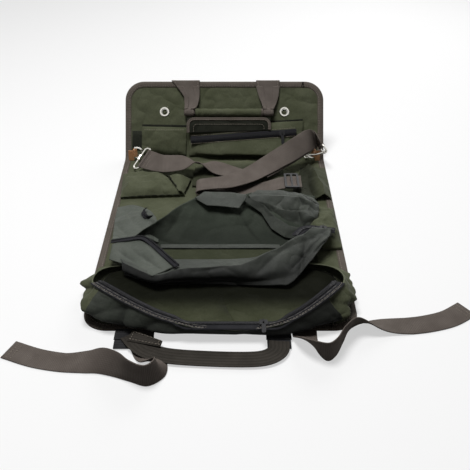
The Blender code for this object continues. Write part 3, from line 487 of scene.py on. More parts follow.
def bound_edge(name, line, inward, bend, seed):
    """The folded tape round an edge and its stitches, as one piece; bend shapes all its points."""
    p = np.column_stack([line, np.zeros(len(line))])
    width = BIND + 0.0004 * crumple(p, 0.02, seed)
    lift = 0.0003 * crumple(p * 1.3, 0.012, seed + 2)
    section = [(1.0, 0.0008), (0.97, 0.0014), (0.5, 0.0016), (0.12, 0.0015), (0.0, 0.0004),
               (-0.015, -0.0012), (0.0, -0.0026), (0.12, -0.0034), (0.97, -0.0034), (1.0, -0.0028)]
    rings = []
    for across, height in section:
        flat = line + inward * (across * width)[:, None]
        top = CLOTH - 0.0009 + height + (lift + 0.0002 if height > 0 else 0 * lift)
        rings.append(np.column_stack([flat, np.maximum(top, 0.0001)]))
    made = tube(name, bend(np.stack(rings, 1)), BINDING)
    seam = np.column_stack([line + inward * (0.78 * width)[:, None], CLOTH + 0.0009 + lift])
    up = bend(seam + (0, 0, 0.001)) - bend(seam)
    return joined(name, [made, stitches(name + "_stitches", bend(seam), up)])


line, inward = end_edge(0, LOW_END, -1)
lower_bind = bound_edge("lower_edge_binding", line[::-1], inward[::-1], np.asarray, 4)
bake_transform(lower_bind)
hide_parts("lower_binding")
for side, sign in (("left", -1), ("right", 1)):
    line = np.stack([np.full(90, sign * HALF), np.linspace(0, SEAM, 90)[::-sign]], 1)
    inward = np.repeat([[-sign, 0.0]], 90, 0)
    made = bound_edge("side_binding_" + side, line, inward, np.asarray, 7 + len(side))
    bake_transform(made)
    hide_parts("middle_binding_" + side)
flap_bind = bound_edge("flap_edge_binding", *end_edge(SEAM, FLAP_END, 1), curled, 9)
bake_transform(flap_bind)
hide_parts("upper_binding_left", "upper_binding_right", "flap_binding")


# The flap's small pocket at the left: canvas sewn on, shut and softly padded, with a stitched hem.
# Sheets of painted shadow stand for the dark gaps inside it and the zip pocket above their top
# edges, and at its left side.

FLAP_WAY = flap_point((0, 1, 0)) - flap_point((0, 0, 0))
FLAP_OUT = flap_point((0, 0, 1)) - flap_point((0, 0, 0))
# Near-black cloth: painted shadow for the pockets' mouths and the side gap, and the real black
# piping of the left pocket.
SHADOW_AND_PIPING = canvas("painted_shadow_and_piping_cloth", (0.012, 0.013, 0.010), (0.030, 0.032, 0.024), 0.9, 0.05)


def pad(name, corners, base, height, edge, material, seed, rough, fold=0.022,
        columns=70, rows=50, power=4, space=np.asarray):
    """A shut bellows pocket.

    Its top is the product of two flat-topped crowns (one less a power of the distance from the
    middle) across and along, with soft folds added, over sides that drop to the base.
    """
    near_left, near_right, far_right, far_left = [np.array(c, float) for c in corners]
    u, v = np.meshgrid(np.linspace(0, 1, columns), np.linspace(0, 1, rows))
    left = near_left + (far_left - near_left) * v[..., None]
    right = near_right + (far_right - near_right) * v[..., None]
    flat = left + (right - left) * u[..., None]
    crown = (1 - np.abs(2 * u - 1) ** power) * (1 - np.abs(2 * v - 1) ** power)
    p = np.concatenate([flat, 0 * u[..., None]], -1)
    soft = rough * crumple(p, fold, seed) + 0.35 * rough * crumple(p, fold * 0.4, seed + 3)
    z = base + edge + (height - edge) * crown + soft * np.sqrt(np.maximum(crown, 0))
    grid = np.pad(np.concatenate([flat, z[..., None]], -1), ((1, 1), (1, 1), (0, 0)), mode="edge")
    rim = np.ones(grid.shape[:2], bool)
    rim[1:-1, 1:-1] = False
    grid[rim, 2] = base
    return sheet(name, space(grid), material, 0.0006)


small = pad("small_flap_pocket",
            [(-0.150, 0.008), (-0.070, 0.006), (-0.068, 0.056), (-0.150, 0.058)],
            0.0004, 0.011, 0.003, OLIVE, 11, 0.0012, space=flap_point)
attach(small, "flap")
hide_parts("small_pocket")
hem_line = np.stack([np.linspace(-0.146, -0.071, 60), np.full(60, 0.0505), np.full(60, 0.0121)], 1)
hem = stitches("small_pocket_hem", flap_point(hem_line), FLAP_OUT)
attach(hem, "flap")


def mouth(name, x_low, x_high, from_left, from_right, to):
    """A sheet of painted shadow where a pocket's inside shows above its top edge."""
    x, s = np.meshgrid(np.linspace(x_low, x_high, 40), np.linspace(0, 1, 6))
    along = from_left + (from_right - from_left) * (x - x_low) / (x_high - x_low)
    points = np.stack([x, along + s * (to - from_left), 0.0016 + 0 * x], -1)
    made = sheet(name, flap_point(points), SHADOW_AND_PIPING, 0.0008)
    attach(made, "flap")


mouth("small_pocket_mouth_shadow", -0.1495, -0.069, 0.0575, 0.0560, 0.0620)
mouth("zip_pocket_mouth_shadow", 0.072, 0.1425, 0.0635, 0.0675, 0.0675)
mouth("side_gap_shadow", -0.1675, -0.1505, 0.0160, 0.0160, 0.0500)


# The flap's zip pocket: canvas that sags below a slanting zip, whose black tape is sewn on along
# both sides. One function makes the tape and the teeth of every zip of the roll.

SLANT = 0.013 / 0.173
RAIL_X, RAIL_Y, RAIL_OUT = 0.104, 0.0445, 0.0117
ZIP_TAPE = ribbed("black_zip_tape", (0.013, 0.013, 0.015), (0.022, 0.022, 0.025), 0.0012)
TEETH = metal("black_zip_teeth", (0.016, 0.016, 0.018), 0.42, 0.0)


def boxes(name, centres, along, across, up, size, material):
    """Many small bevelled blocks, one at each centre, in one mesh."""
    points, faces = [], []
    length, width, height = (s / 2 for s in size)
    shape = [(sx, sy, 0) for sx, sy in ((-1, -1), (1, -1), (1, 1), (-1, 1))]
    shape += [(0.7 * sx, 0.85 * sy, 1) for sx, sy, _ in shape]
    for c, a, w, h in zip(centres, along, across, up):
        first = len(points)
        for sx, sy, sz in shape:
            points.append(c + a * (sx * length) + w * (sy * width) + h * (2 * sz * height))
        faces.append((first + 3, first + 2, first + 1, first))
        faces.append((first + 4, first + 5, first + 6, first + 7))
        for k in range(4):
            j = (k + 1) % 4
            faces.append((first + k, first + j, first + 4 + j, first + 4 + k))
    return mesh_object(name, points, faces, material, None, False)


def zip_run(name, line, across, up, reach, teeth_off=0.0, rows=(-1, 1)):
    """Zip tape with teeth.

    The tape spans the reach (low, high) across the line and lies on it; each row of teeth stands
    beside the line at the tooth offset, the two rows half a pitch apart.
    """
    line = np.asarray(line, float)
    across, up = (np.broadcast_to(np.asarray(a, float), line.shape) for a in (across, up))
    grid = np.stack([line + across * s for s in np.linspace(*reach, 5)], 1)
    if np.sum(normals(grid) * up[:, None]) < 0:
        grid = grid[:, ::-1]
    parts = [sheet(name, grid + up[:, None] * 0.0005, ZIP_TAPE, 0.0006)]
    run = run_of(line)
    ahead = np.stack([np.gradient(column, run) for column in line.T], 1)
    for k, side in enumerate(rows):
        at = np.arange(0.001 + 0.0008 * k, run[-1] - 0.001, 0.0017)
        centre, w, h, d = (sampled(at, run, field) for field in (line, across, up, ahead))
        centre = centre + w * (teeth_off + side * 0.0011) + h * 0.0004
        parts.append(boxes(name + "_teeth", centre, unit(d), w, h, (0.0011, 0.0026, 0.0016), TEETH))
    return joined(name, parts)


def sagged(points):
    """The zip pocket's cloth: below the zip it leans out more and more and hangs over its foot."""
    points = points.copy()
    fall = ease(points[..., 1] - (points[..., 0] - RAIL_X) * SLANT, 0.040, 0.010)
    raised = ease(points[..., 2], 0.003, 0.009)
    points[..., 2] += 0.0088 * fall * raised
    points[..., 1] -= 0.0085 * fall * raised
    return flap_point(points)


zip_pocket = pad("flap_zip_pocket",
                 [(-0.064, 0.005), (0.140, 0.006), (0.143, 0.068), (-0.064, 0.058)],
                 0.0004, 0.0108, 0.003, OLIVE, 13, 0.0011, fold=0.03, columns=110, rows=60,
                 space=sagged)
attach(zip_pocket, "flap")
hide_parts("zip_pocket")
x = np.linspace(-0.061, 0.130, 98)
rail = flap_point(np.stack([x, RAIL_Y + (x - RAIL_X) * SLANT, np.full(98, RAIL_OUT)], 1))
flap_chain = zip_run("flap_zip_chain", rail, FLAP_WAY, FLAP_OUT, (-0.0055, 0.0060))
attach(flap_chain, "flap")
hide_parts("flap_zip")
for shift in (-0.0070, 0.0076):
    row = stitches("flap_zip_stitches", rail + FLAP_WAY * shift + FLAP_OUT * 0.0002, FLAP_OUT)
    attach(row, "flap")


# Pockets of the upper section: canvas bellows sewn down along their rims, a slanting one at the
# left and a low one in the middle under the shoulder strap, with painted shade that darkens it
# towards the flap. Each has its node, corners, height, cloth, seed and height of its folds, and how
# square its crown is.

# painted shade darkens this olive towards the flap
FLAP_SHADED_OLIVE = canvas("olive_canvas_shaded_towards_flap", (0.066, 0.072, 0.041), (0.087, 0.093, 0.057),
                    painted_shading=[(1, 0.200, 0.172, 0.48)])
UPPER = [
    ("left_pocket", [(-0.170, 0.090), (-0.064, 0.098), (-0.104, 0.166), (-0.175, 0.168)],
     0.0170, OLIVE, 17, 0.0046, 7),
    ("centre_pocket", [(-0.054, 0.128), (0.106, 0.128), (0.102, 0.214), (-0.050, 0.214)],
     0.0138, FLAP_SHADED_OLIVE, 19, 0.0024, 5),
]
for name, corners, height, finish, seed, rough, power in UPPER:
    made = pad(name + "_bellows", corners, 0.0034, height, 0.004, finish, seed, rough,
               columns=110, rows=90, power=power)
    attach(made, "upper")
    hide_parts(name)


# Side fold of the left pocket: its canvas gusset stands out to the right in one flat fold. A dark
# piped seam joins it to the pocket down its root and runs along the pocket's foot.


def mm(rows):
    """Lengths written in millimetres, in metres."""
    return np.array(rows, float) / 1000


def smooth_line(stations, steps):
    """A Catmull-Rom curve through the stations."""
    knots = np.array(stations, float)
    ends = np.vstack([2 * knots[0] - knots[1], knots, 2 * knots[-1] - knots[-2]])
    points = []
    for a, b, c, d in zip(ends, ends[1:], ends[2:], ends[3:]):
        for k in range(steps):
            t = k / steps
            bend = 2 * b + (c - a) * t + (2 * a - 5 * b + 4 * c - d) * t * t
            points.append((bend + (3 * b - a - 3 * c + d) * t**3) / 2)
    points.append(knots[-1])
    return np.array(points)


def smooth_grid(stations, across, along):
    """Stations in rows joined by curves, first across and then along."""
    rows = np.stack([smooth_line(row, across) for row in stations])
    return np.stack([smooth_line(rows[:, k], along) for k in range(rows.shape[1])], 1)


SIDE_FOLD = mm([
    [(-97.5, 153, 12), (-78, 154, 15), (-56, 152, 6)],
    [(-93, 142, 16.5), (-76, 144, 18.5), (-56.5, 144, 9)],
    [(-85, 120, 17), (-72, 122, 18), (-60, 124, 10)],
    [(-74, 96, 16), (-70, 96, 15), (-66, 97, 9)],
])
PIPED = mm([
    [(-96.8, 150, 17.8), (-92.5, 140, 19), (-84.5, 119, 19.2), (-73.5, 98.5, 17.5)],
    [(-169, 89.5, 6.5), (-140, 91.5, 8), (-100, 94.5, 8), (-68, 97, 7)],
])
grid = smooth_grid(SIDE_FOLD, 14, 14)
grid[..., 2] += 0.0010 * crumple(grid, 0.020, 21)
side_fold = sheet("left_pocket_fold", grid[::-1], OLIVE, 0.0012)
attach(side_fold, "upper")
for path in PIPED:
    seam = stitches("left_pocket_piping", smooth_line(path, 12), (0, -0.4, 0.9), SHADOW_AND_PIPING,
                    stitch=0.012, space=0.0001, radius=0.0009)
    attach(seam, "upper")


# Right bellows of the upper section: a canvas gusset, sewn in at both sides, that has sunk into
# crossing folds. Its colour is a darker copy of the olive as painted shadow of the shoulder strap,
# with more painted shade towards its left side and where it goes down between the folds.

SHADED_GUSSET = canvas("gusset_canvas_painted_shade", (0.046, 0.051, 0.029), (0.062, 0.067, 0.041),
                painted_shading=[(0, 0.165, 0.145, 0.36)])
FOLDS = mm([
    [(118, 84, 4), (132, 83, 13), (150, 83, 7), (166, 84, 17), (178.5, 86, 5)],
    [(116, 108, 4), (128, 106, 15), (146, 110, 5.5), (165, 108, 20.5), (178.5, 110, 7)],
    [(120, 136, 4), (132, 132, 8), (144, 138, 6), (159, 136, 21), (178.5, 136, 8)],
    [(128, 164, 4), (136, 160, 6), (146, 164, 12), (154, 166, 19.5), (178.5, 162, 6)],
    [(134, 184, 4), (141, 186, 7), (148, 188, 15), (158, 186, 8), (178.5, 186, 4.5)],
    [(135, 196, 3.6), (143, 197, 3.8), (150, 198, 4.5), (162, 198, 4), (178, 197, 3.6)],
])


def crisp(stations, steps, soft):
    """Stations joined by nearly straight runs, so the folds between them stay sharp."""
    out = []
    for a, b in zip(stations[:-1], stations[1:]):
        for k in np.linspace(0, 1, steps, endpoint=False):
            w = k * (1 - soft) + soft * k * k * (3 - 2 * k)
            out.append(a * (1 - w) + b * w)
    return np.array(out + [stations[-1]])


def folded(stations, across, along, soft):
    """A cloth with sharp folds: rows and columns run almost straight from station to station."""
    rows = np.stack([crisp(row, across, soft) for row in stations])
    return np.stack([crisp(rows[:, k], along, soft) for k in range(rows.shape[1])], 1)


grid = folded(FOLDS, 24, 22, 0.8)
rise = ease(grid[..., 2], 0.004, 0.010)
grid[..., 2] -= rise * (0.0022 * crumple(grid, 0.019, 23) + 0.0011 * crumple(grid, 0.009, 24))
grid[..., 2] = np.maximum(grid[..., 2], 0.0036)
made = sheet("right_bellows", grid, SHADED_GUSSET, 0.0012)
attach(made, "upper")
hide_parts("right_pocket")


# Middle pocket's back wall: grey-green lining sewn in at its foot, that leans up to a rolled lip.
# The cloth left over at the right is gathered into a bulb, and a ridge runs from the lip down to
# the right corner, over the shaded floor and beside the canvas bag at the right edge.

LINING = canvas("grey_green_lining", (0.036, 0.040, 0.034), (0.056, 0.062, 0.052), 0.6, 0.18)
WALL_LINING = canvas("lining_in_shade", (0.035, 0.042, 0.032), (0.047, 0.055, 0.043), 0.86, 0.10,
                     painted_shading=[(1, 0.018, -0.034, 0.50)])
# a darker copy of the olive: painted shade on the pocket's floor
SHADED_FLOOR_OLIVE = canvas("pocket_floor_canvas_painted_shade", (0.034, 0.038, 0.022), (0.046, 0.050, 0.031),
                     0.9, 0.05)
BACK = mm([
    [(-155, -60, 15), (-123.6, -51, 28)],
    [(-120, -56, 4.8), (-94, -16.4, 33)],
    [(-85, -56, 4.5), (-58.2, 21.5, 38)],
    [(-40, -55, 4.5), (-26, 42, 41)],
    [(14, -55, 4.5), (14, 40.4, 41)],
    [(50, -55, 4.5), (45.5, 45.1, 42)],
    [(78, -56, 6), (74.7, 50, 42)],
    [(105, -57, 8), (104.4, 49.3, 41)],
    [(150, -58, 8), (145, 44, 36)],
])
BULB = mm([
    [(38, 40, 20), (52, 53, 12), (92, 53, 10), (120, 52, 10), (138, 46, 10), (148, 36, 10)],
    [(40.5, 33.5, 45), (55.5, 48, 45.5), (91.5, 47.5, 45), (121.5, 44, 43.5), (140, 38, 40),
     (150, 29, 33)],
    [(42.5, 29, 44), (62, 33, 45.5), (92, 31, 45), (121.5, 29, 44), (137.5, 24, 40),
     (149.5, 19, 33)],
    [(44.5, 26, 41), (70, 22, 37), (93, 16, 31), (118, 15, 27), (131, 11, 33), (148, 8, 29)],
    [(46, 25, 35), (78, 16, 29), (98.5, 8, 34.5), (119, 4, 35), (133, 0, 31), (145, -1, 25)],
    [(47, 24, 24), (80, 14, 15), (100, -1, 14), (119, -7, 15), (133, -10, 14), (143, -9, 12)],
])
RIDGE = mm([
    [(34, 23, 40), (60, 6, 29), (74, -19, 17), (93, -37, 13), (113, -46, 13)],
    [(37, 27, 45.5), (64, 11, 40), (80, -12, 33), (100, -30, 30), (123, -41, 30)],
    [(38.5, 27.5, 40), (66.5, 12.5, 27), (81.5, -10, 15), (102, -28, 12), (125, -39, 12)],
])
LIP_TOP = mm([(-43, 30, 41.5), (-29, 43, 45), (12, 42, 45), (36.8, 33, 45.5)])
LIP_LOW = mm([(-42.5, 29, 40.5), (-24, 13, 38.5), (25.5, 7, 37.5), (36.6, 26, 44)])


def creased(grid, lines):
    """Adds sharp creases to a cloth, each (x, y, x, y, width, depth).

    The cloth drops towards the line between the two points by an exponential of its distance
    from it; a negative depth makes a ridge.
    """
    for ax, ay, bx, by, width, depth in lines:
        x, y, run = grid[..., 0] - ax, grid[..., 1] - ay, np.array([bx - ax, by - ay])
        along = np.clip((x * run[0] + y * run[1]) / (run @ run), 0, 1)
        off = np.hypot(x - along * run[0], y - along * run[1])
        drop = depth * np.sin(math.pi * (0.12 + 0.76 * along)) * np.exp(-off / width)
        grid[..., 2] -= drop
        grid[..., 1] += 0.5 * drop
    return grid


foot, lip = (smooth_line(BACK[:, k], 14) for k in (0, 1))
rows = []
for t in np.linspace(0, 1, 46):
    line = foot + (lip - foot) * t
    line[:, 2] -= 0.010 * math.sin(math.pi * t) * (1 - 0.4 * t)
    rows.append(line)
for turn in np.linspace(0, math.pi * 0.95, 10)[1:]:
    rows.append(lip + (0, 0.0065 * math.sin(turn), 0.0045 * (math.cos(turn) - 1)))
for drop in (0.013, 0.018, 0.023):
    rows.append(lip + (0, 0.001, -drop))
grid = np.array(rows)
rise = ease(grid[..., 2], 0.006, 0.030)
grid[..., 2] += 0.0042 * rise * crumple(grid, 0.034, 31) - 0.0014 * rise * crumple(grid, 0.012, 32)
grid[..., 1] += 0.0050 * rise * crumple(grid, 0.026, 33)
grid[..., 2] = np.maximum(grid[..., 2], 0.0042)
grid = creased(grid, mm([
    (-60, 14, -92, -34, 5.5, 3), (-46, 12, -66, -40, 6, -3), (30, 6, 60, -44, 6, 3),
    (-104, -30, -60, -48, 5, 2),
]))
back = sheet("middle_back_wall", grid, WALL_LINING, 0.0012)
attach(back, "middle")
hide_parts("middle_pocket_back")

grid = folded(BULB, 20, 16, 0.8)
rise = ease(grid[..., 2], 0.012, 0.026)
right = ease(grid[..., 0], 0.085, 0.130)
grid[..., 2] += rise * (0.0012 + 0.0034 * right) * crumple(grid, 0.015, 37)
grid[..., 2] -= rise * 0.0020 * right * crumple(grid, 0.0075, 38)
grid[..., 1] += rise * (0.0010 + 0.0024 * right) * crumple(grid, 0.015, 39)
grid = creased(grid, mm([
    (118, 30, 144, 10, 2.8, 4.5), (126, 36, 150, 20, 2.6, 4), (104, 16, 132, -2, 2.6, 4.5),
    (90, 20, 112, 4, 3, 3.5), (50, 36, 98, 34, 4.5, 2.2), (112, 12, 122, -6, 2.2, 4),
]))
bulk = sheet("middle_right_bulk", grid[::-1], LINING, 0.0010)

grid = folded(RIDGE, 18, 12, 0.9)
grid[..., 2] += 0.0010 * crumple(grid, 0.016, 35)
ridge = sheet("middle_ridge_fold", grid, LINING, 0.0010)

x, y = np.meshgrid(np.linspace(-0.110, 0.140, 90), np.linspace(-0.0870, -0.0570, 26))
grid = np.stack([x, y, 0.0040 + 0.0004 * level_crumple(x, y, 0.03, 62)], -1)
floor_cloth = sheet("middle_floor_cloth", grid[::-1], SHADED_FLOOR_OLIVE, 0.0005)
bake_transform(floor_cloth)

x, t = np.meshgrid(np.linspace(-0.092, 0.086, 120), np.linspace(0, 1, 10))
z = 0.0060 + 0.0016 * np.sin(math.pi * t) + 0.0004 * level_crumple(x, t * 0.01, 0.03, 36)
hem = sheet("middle_back_hem", np.stack([x, -0.0560 + 0.0105 * t, z], -1), LINING, 0.0008)

side_bag = pad("middle_side_bag",
               [(0.128, -0.058), (0.1775, -0.058), (0.1775, 0.050), (0.134, 0.046)],
               0.0036, 0.0240, 0.006, OLIVE, 39, 0.0048, fold=0.018, columns=90, rows=110)
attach(side_bag, "middle")
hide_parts("middle_pocket_side")

t = np.linspace(0, 1, 26)[:, None, None]
grid = crisp(LIP_TOP, 20, 0.3) * (1 - t) + crisp(LIP_LOW, 20, 0.3) * t
grid[..., 2] += 0.0018 * np.sin(math.pi * t[..., 0]) + 0.0008 * crumple(grid, 0.024, 93)
lip_fold = sheet("middle_lip_fold", grid[:, ::-1], LINING, 0.0008)
for made in (bulk, ridge, hem, lip_fold):
    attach(made, "middle")


# Middle pocket's front: lining cloth sewn in at the fold, that rises to a ridge and hangs from it
# to its hem, with painted shade where it hangs, darker towards the left and the bottom. A pale
# gusset closes the pocket at the left.

SHADED_FRONT_FACE = canvas("front_face_cloth_painted_shade", (0.036, 0.040, 0.034), (0.056, 0.062, 0.052), 0.6, 0.15,
                    painted_shading=[(0, 0.085, 0.000, 0.30), (2, 0.038, 0.020, 0.22)])
PALE_LINING = canvas("pale_lining", (0.060, 0.068, 0.056), (0.082, 0.090, 0.076), 0.6, 0.18)
FRONT = mm([
    [(-150, -83, 6), (-140, -110, 20), (-136, -124, 8)],
    [(-110, -84, 6), (-93.6, -147, 27), (-94.4, -145, 8)],
    [(-70, -84, 6), (-62.7, -143, 32), (-70, -144, 7)],
    [(-30, -84, 6), (-28.7, -140, 34), (-28.4, -143, 7)],
    [(16, -84, 6), (16.5, -136, 35), (12.4, -144, 7)],
    [(38, -84, 6), (35.7, -130, 36), (42, -148, 8)],
    [(78, -83, 8), (75.6, -104, 40), (78, -150, 10)],
    [(112, -70, 14), (113.1, -69.3, 42.5), (96.5, -148, 13)],
    [(138, -52, 18), (136.3, -50, 42), (124.4, -111.3, 23)],
    [(162, -44, 18), (160, -48, 40), (150, -72.5, 28)],
])
RISING = 25

root, crest, hanging = (smooth_line(FRONT[:, k], 14) for k in range(3))
rows = []
for t in np.linspace(0, 1, RISING + 1)[:-1]:
    line = root + (crest - root) * t
    line[:, 2] += 0.004 * math.sin(math.pi * t)
    rows.append(line)
for t in np.linspace(0, 1, 34):
    line = crest + (hanging - crest) * t
    line[:, 1] -= 0.008 * math.sin(math.pi * min(1, t * 1.2)) * (1 - 0.3 * t)
    rows.append(line)
grid = np.array(rows)
rise = ease(grid[..., 2], 0.008, 0.026)
right = ease(grid[..., 0], 0.02, 0.12)
grid[..., 2] += rise * (0.0016 + 0.0026 * right) * crumple(grid, 0.026, 41)
grid[..., 2] -= rise * 0.0016 * right * crumple(grid, 0.011, 42)
grid[..., 1] += rise * (0.0010 + 0.0028 * right) * crumple(grid, 0.018, 43)
grid = creased(grid, mm([
    (156, -52, 70, -112, 5, 4.5), (148, -62, 98, -128, 4.5, 5), (122, -70, 108, -140, 4, 4.5),
    (92, -96, 50, -142, 4.5, 3.5), (74, -106, -10, -137, 5, -3), (30, -134, -40, -146, 5, 3),
    (-50, -140, -98, -142, 6, 3), (2, -138, 30, -148, 4, 2.5),
]))
front = sheet("middle_front_wall", grid[:, ::-1], LINING, 0.0012)
front.data.materials.append(SHADED_FRONT_FACE)
# the rows that hang take the painted shade
for face in front.data.polygons:
    row = min(face.vertices) // grid.shape[1] % len(rows)
    face.material_index = int(row >= RISING)
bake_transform(front)
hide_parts("middle_pocket_front")

top_line = smooth_line(mm([(-160, -66, 21), (-119, -66, 27), (-64, -135, 31)]), 20)
low_line = smooth_line(mm([(-161, -96, 15), (-130, -118, 20), (-93.6, -150, 26.2)]), 20)
grid = np.array([top_line + (low_line - top_line) * t for t in np.linspace(0, 1, 24)])
grid[..., 2] += 0.0010 * crumple(grid, 0.03, 47)
grid = creased(grid, mm([
    (-130, -82, -82, -138, 4.5, 2.4), (-150, -80, -118, -116, 4.5, 2.4),
    (-112, -78, -92, -112, 4, -1.6),
]))
gusset = sheet("middle_left_gusset", grid[:, ::-1], PALE_LINING, 0.0012)
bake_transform(gusset)


# Left gusset of the middle pocket where it lies on the back panel: a pale fold from the left edge
# that runs under the left pocket, with the black end of the zip standing out of it.

PATCH = mm([
    [(-170, 56, 7), (-168, 10, 11), (-163, -50, 13)],
    [(-145, 60, 8.5), (-143, 10, 15), (-140, -50, 16)],
    [(-120, 48, 8), (-116, 6, 16), (-116, -48, 19)],
    [(-106, 30, 4.5), (-100, 0, 5), (-96, -42, 6)],
])
grid = smooth_grid(PATCH, 16, 16)
grid[..., 2] += 0.0014 * crumple(grid, 0.022, 91) * ease(grid[..., 2], 0.005, 0.010)
grid[..., 2] = np.maximum(grid[..., 2], 0.0040)
grid = creased(grid, mm([
    (-160, 48, -128, -20, 5, 2.6), (-150, -14, -108, 30, 4.5, 2.4), (-168, 4, -140, -40, 5, 2.4),
]))
patch = sheet("middle_left_fold", grid[::-1], PALE_LINING, 0.0012)
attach(patch, "middle")
ends = smooth_line(mm([(-122.5, 40, 15), (-124.5, 24, 19), (-118, 8, 20), (-110, 10, 18)]), 10)
zip_end = zip_run("middle_zip_end", ends, (0.75, 0.2, 0.6), (-0.4, -0.3, 0.85),
                  (-0.004, 0.004), rows=(1,))
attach(zip_end, "middle")


# Main pocket: a bellows wall of canvas round the open mouth, sewn down at its foot. Its belly
# swells over the bottom edge and folds on itself, with painted shade at the front that is darkest
# low down and towards the right, and its rim is the mouth. Its inside has painted shade that
# darkens it towards the floor.

SHADED_BELLY = canvas("belly_cloth_painted_shade", (0.030, 0.034, 0.027), (0.046, 0.050, 0.042), 0.7, 0.12,
               painted_shading=[(2, 0.034, 0.012, 0.30), (0, 0.010, 0.072, 0.24)])
# painted shade darkens the inside towards the floor
INSIDE = canvas("canvas_inside", (0.086, 0.094, 0.056), (0.114, 0.123, 0.078),
                painted_shading=[(2, 0.034, 0.006, 0.30)])
MAIN = mm([
    [(20, -229, 3.6), (20, -250.5, 10), (20, -253, 17.5)],
    [(88, -228.5, 3.6), (90, -251, 12.5), (88, -244, 26)],
    [(146, -218, 3.6), (164, -228, 22), (144, -214, 47)],
    [(168, -178, 3.6), (184, -180, 22), (164, -174, 41)],
    [(158, -118, 3.6), (168, -115, 13), (155, -121, 20)],
    [(110, -100, 3.6), (110, -96, 8), (108, -102, 12)],
    [(20, -99, 3.6), (20, -96, 7), (20, -101, 10.5)],
    [(-90, -100, 3.6), (-90, -97, 7), (-90, -102, 10.5)],
    [(-158, -112, 3.6), (-168, -110, 11), (-160, -115, 15)],
    [(-168, -178, 3.6), (-190, -180, 23), (-170, -174, 38)],
    [(-148, -219, 3.6), (-168, -229, 24), (-150, -208, 47)],
    [(-87, -228.5, 3.6), (-88, -249, 14.5), (-86, -238.5, 32)],
    [(-30, -229, 3.6), (-30, -250.5, 11), (-28, -250, 20)],
])
MOUTH = np.array([0.0, -0.165, 0.0])

# creases that run up the wall at its corners: direction from the mouth's middle in degrees, how
# far each leans from foot to lip, how wide it is in degrees, and its depth
PLEATS = [
    (-88, 16, 3.2, 0.0075), (-78, -14, 2.6, 0.0070), (-69, 18, 2.4, 0.0065),
    (-60, -10, 2.2, 0.0060), (-50, 14, 2.0, 0.0040), (57, -12, 2.0, 0.0045),
    (66, 12, 2.4, 0.0060), (75, -16, 2.6, 0.0065), (86, 14, 3.0, 0.0060),
]


def closed_line(points, steps):
    around = np.vstack([points[-2:], points, points[:2]])
    return smooth_line(around, steps)[2 * steps:-2 * steps]


def bearing(points):
    """Direction from the mouth's middle in degrees: 0 to the front, 90 to the right."""
    return np.degrees(np.arctan2(points[..., 0], MOUTH[1] - points[..., 1]))


low, belly, rim = (closed_line(MAIN[:, k], 18) for k in range(3))
knots = [low, low * 0.4 + belly * 0.6 - (0, 0, 0.0025), belly, belly * 0.45 + rim * 0.55, rim]
p = np.stack([smooth_line(knot, 9) for knot in np.stack(knots, 1)], 1)
out = unit((p - MOUTH) * (1, 1, 0))
share = np.linspace(0, 1, len(p))[:, None]
swell = np.sin(math.pi * np.clip(share * 1.02, 0, 1))
corner = ease(np.abs(p[..., 0]), 0.09, 0.15)
fold = crumple(p * (1, 1, 1.6), 0.021, 53) * 0.0036 - crumple(p, 0.010, 54) * 0.0014
shift = swell * fold * (0.55 + 1.9 * corner)
for way, lean, width, depth in PLEATS:
    off = np.abs(bearing(p) - way - lean * (share - 0.5))
    shift -= depth * np.sqrt(swell) * np.exp(-off / width)
rings = p + out * shift[..., None]
rings[..., 2] += 0.0010 * crumple(p, 0.03, 57) * share
rings[..., 2] = np.maximum(rings[..., 2], 0.0046 * share + 0.0032 * (1 - share))
skin = np.concatenate([rings, rings[::-1] - out[::-1] * 0.0016])
wall = tube("main_pocket_wall", skin, OLIVE, capped=False)
depth = hollows(rings, out + (0, 0, 0.5), True)
mark_hollows(wall, np.concatenate([depth, 0 * depth]))
wall.data.materials.append(SHADED_BELLY)
wall.data.materials.append(INSIDE)
# front faces take the belly's painted shade, the inner skin the inside's painted shade
ways = bearing(low)
for face in wall.data.polygons:
    ring, column = divmod(min(face.vertices), len(ways))
    face.material_index = 2 if ring >= len(rings) - 1 else int(-72 < ways[column] < 68)
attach(wall, "lower")
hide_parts("main_pocket")


# Main pocket's zip: black tape with teeth. One half is sewn round the front of the mouth behind
# its piped and stitched lip, the other along the back lip, over the lining of the floor.

PIPING = metal("grey_piping", (0.13, 0.125, 0.115), 0.7, 0.0)
SHADED_OLIVE = canvas("shaded_olive_canvas", (0.040, 0.044, 0.024), (0.056, 0.060, 0.036),
                      0.9, 0.05, painted_shading=[(1, -0.212, -0.165, 0.13)])

front_lip = rings[-1][np.argsort(bearing(rings[-1]))]
angle = bearing(front_lip)
front_lip = smooth_line(front_lip[(angle > -83) & (angle < 82)][::3], 4)
inward = unit((MOUTH - front_lip) * (0.35, 1, 0))
along = unit(np.gradient(front_lip, axis=0))
across = inward - along * np.sum(inward * along, 1)[:, None]
across = unit(across - (0, 0, 0.10))
up = np.cross(across, along)
up *= np.sign(up[:, 2:])
chain_line = front_lip + across * 0.0105 + up * 0.0002
x = chain_line[:, 0]
straight = ease(x, -0.060, -0.036) * (1 - ease(x, 0.066, 0.090))
chain_line[:, 1] += straight * (-0.2405 - chain_line[:, 1])
chain_line[:, 2] += straight * (0.0188 - chain_line[:, 2])
main_chain = zip_run("main_zip_chain", chain_line, across, up, (-0.0125, 0.0050))
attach(main_chain, "lower")
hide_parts("main_zip")
for shift, radius in ((0.0004, 0.00055), (0.0060, 0.0004)):
    cord = stitches("main_lip_piping", front_lip + across * shift + up * 0.0009, up, PIPING,
                    stitch=0.012, space=0.0001, radius=radius)
    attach(cord, "lower")
lip_seam = stitches("main_lip_stitches", front_lip + across * 0.0022 + up * 0.0009, up)
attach(lip_seam, "lower")

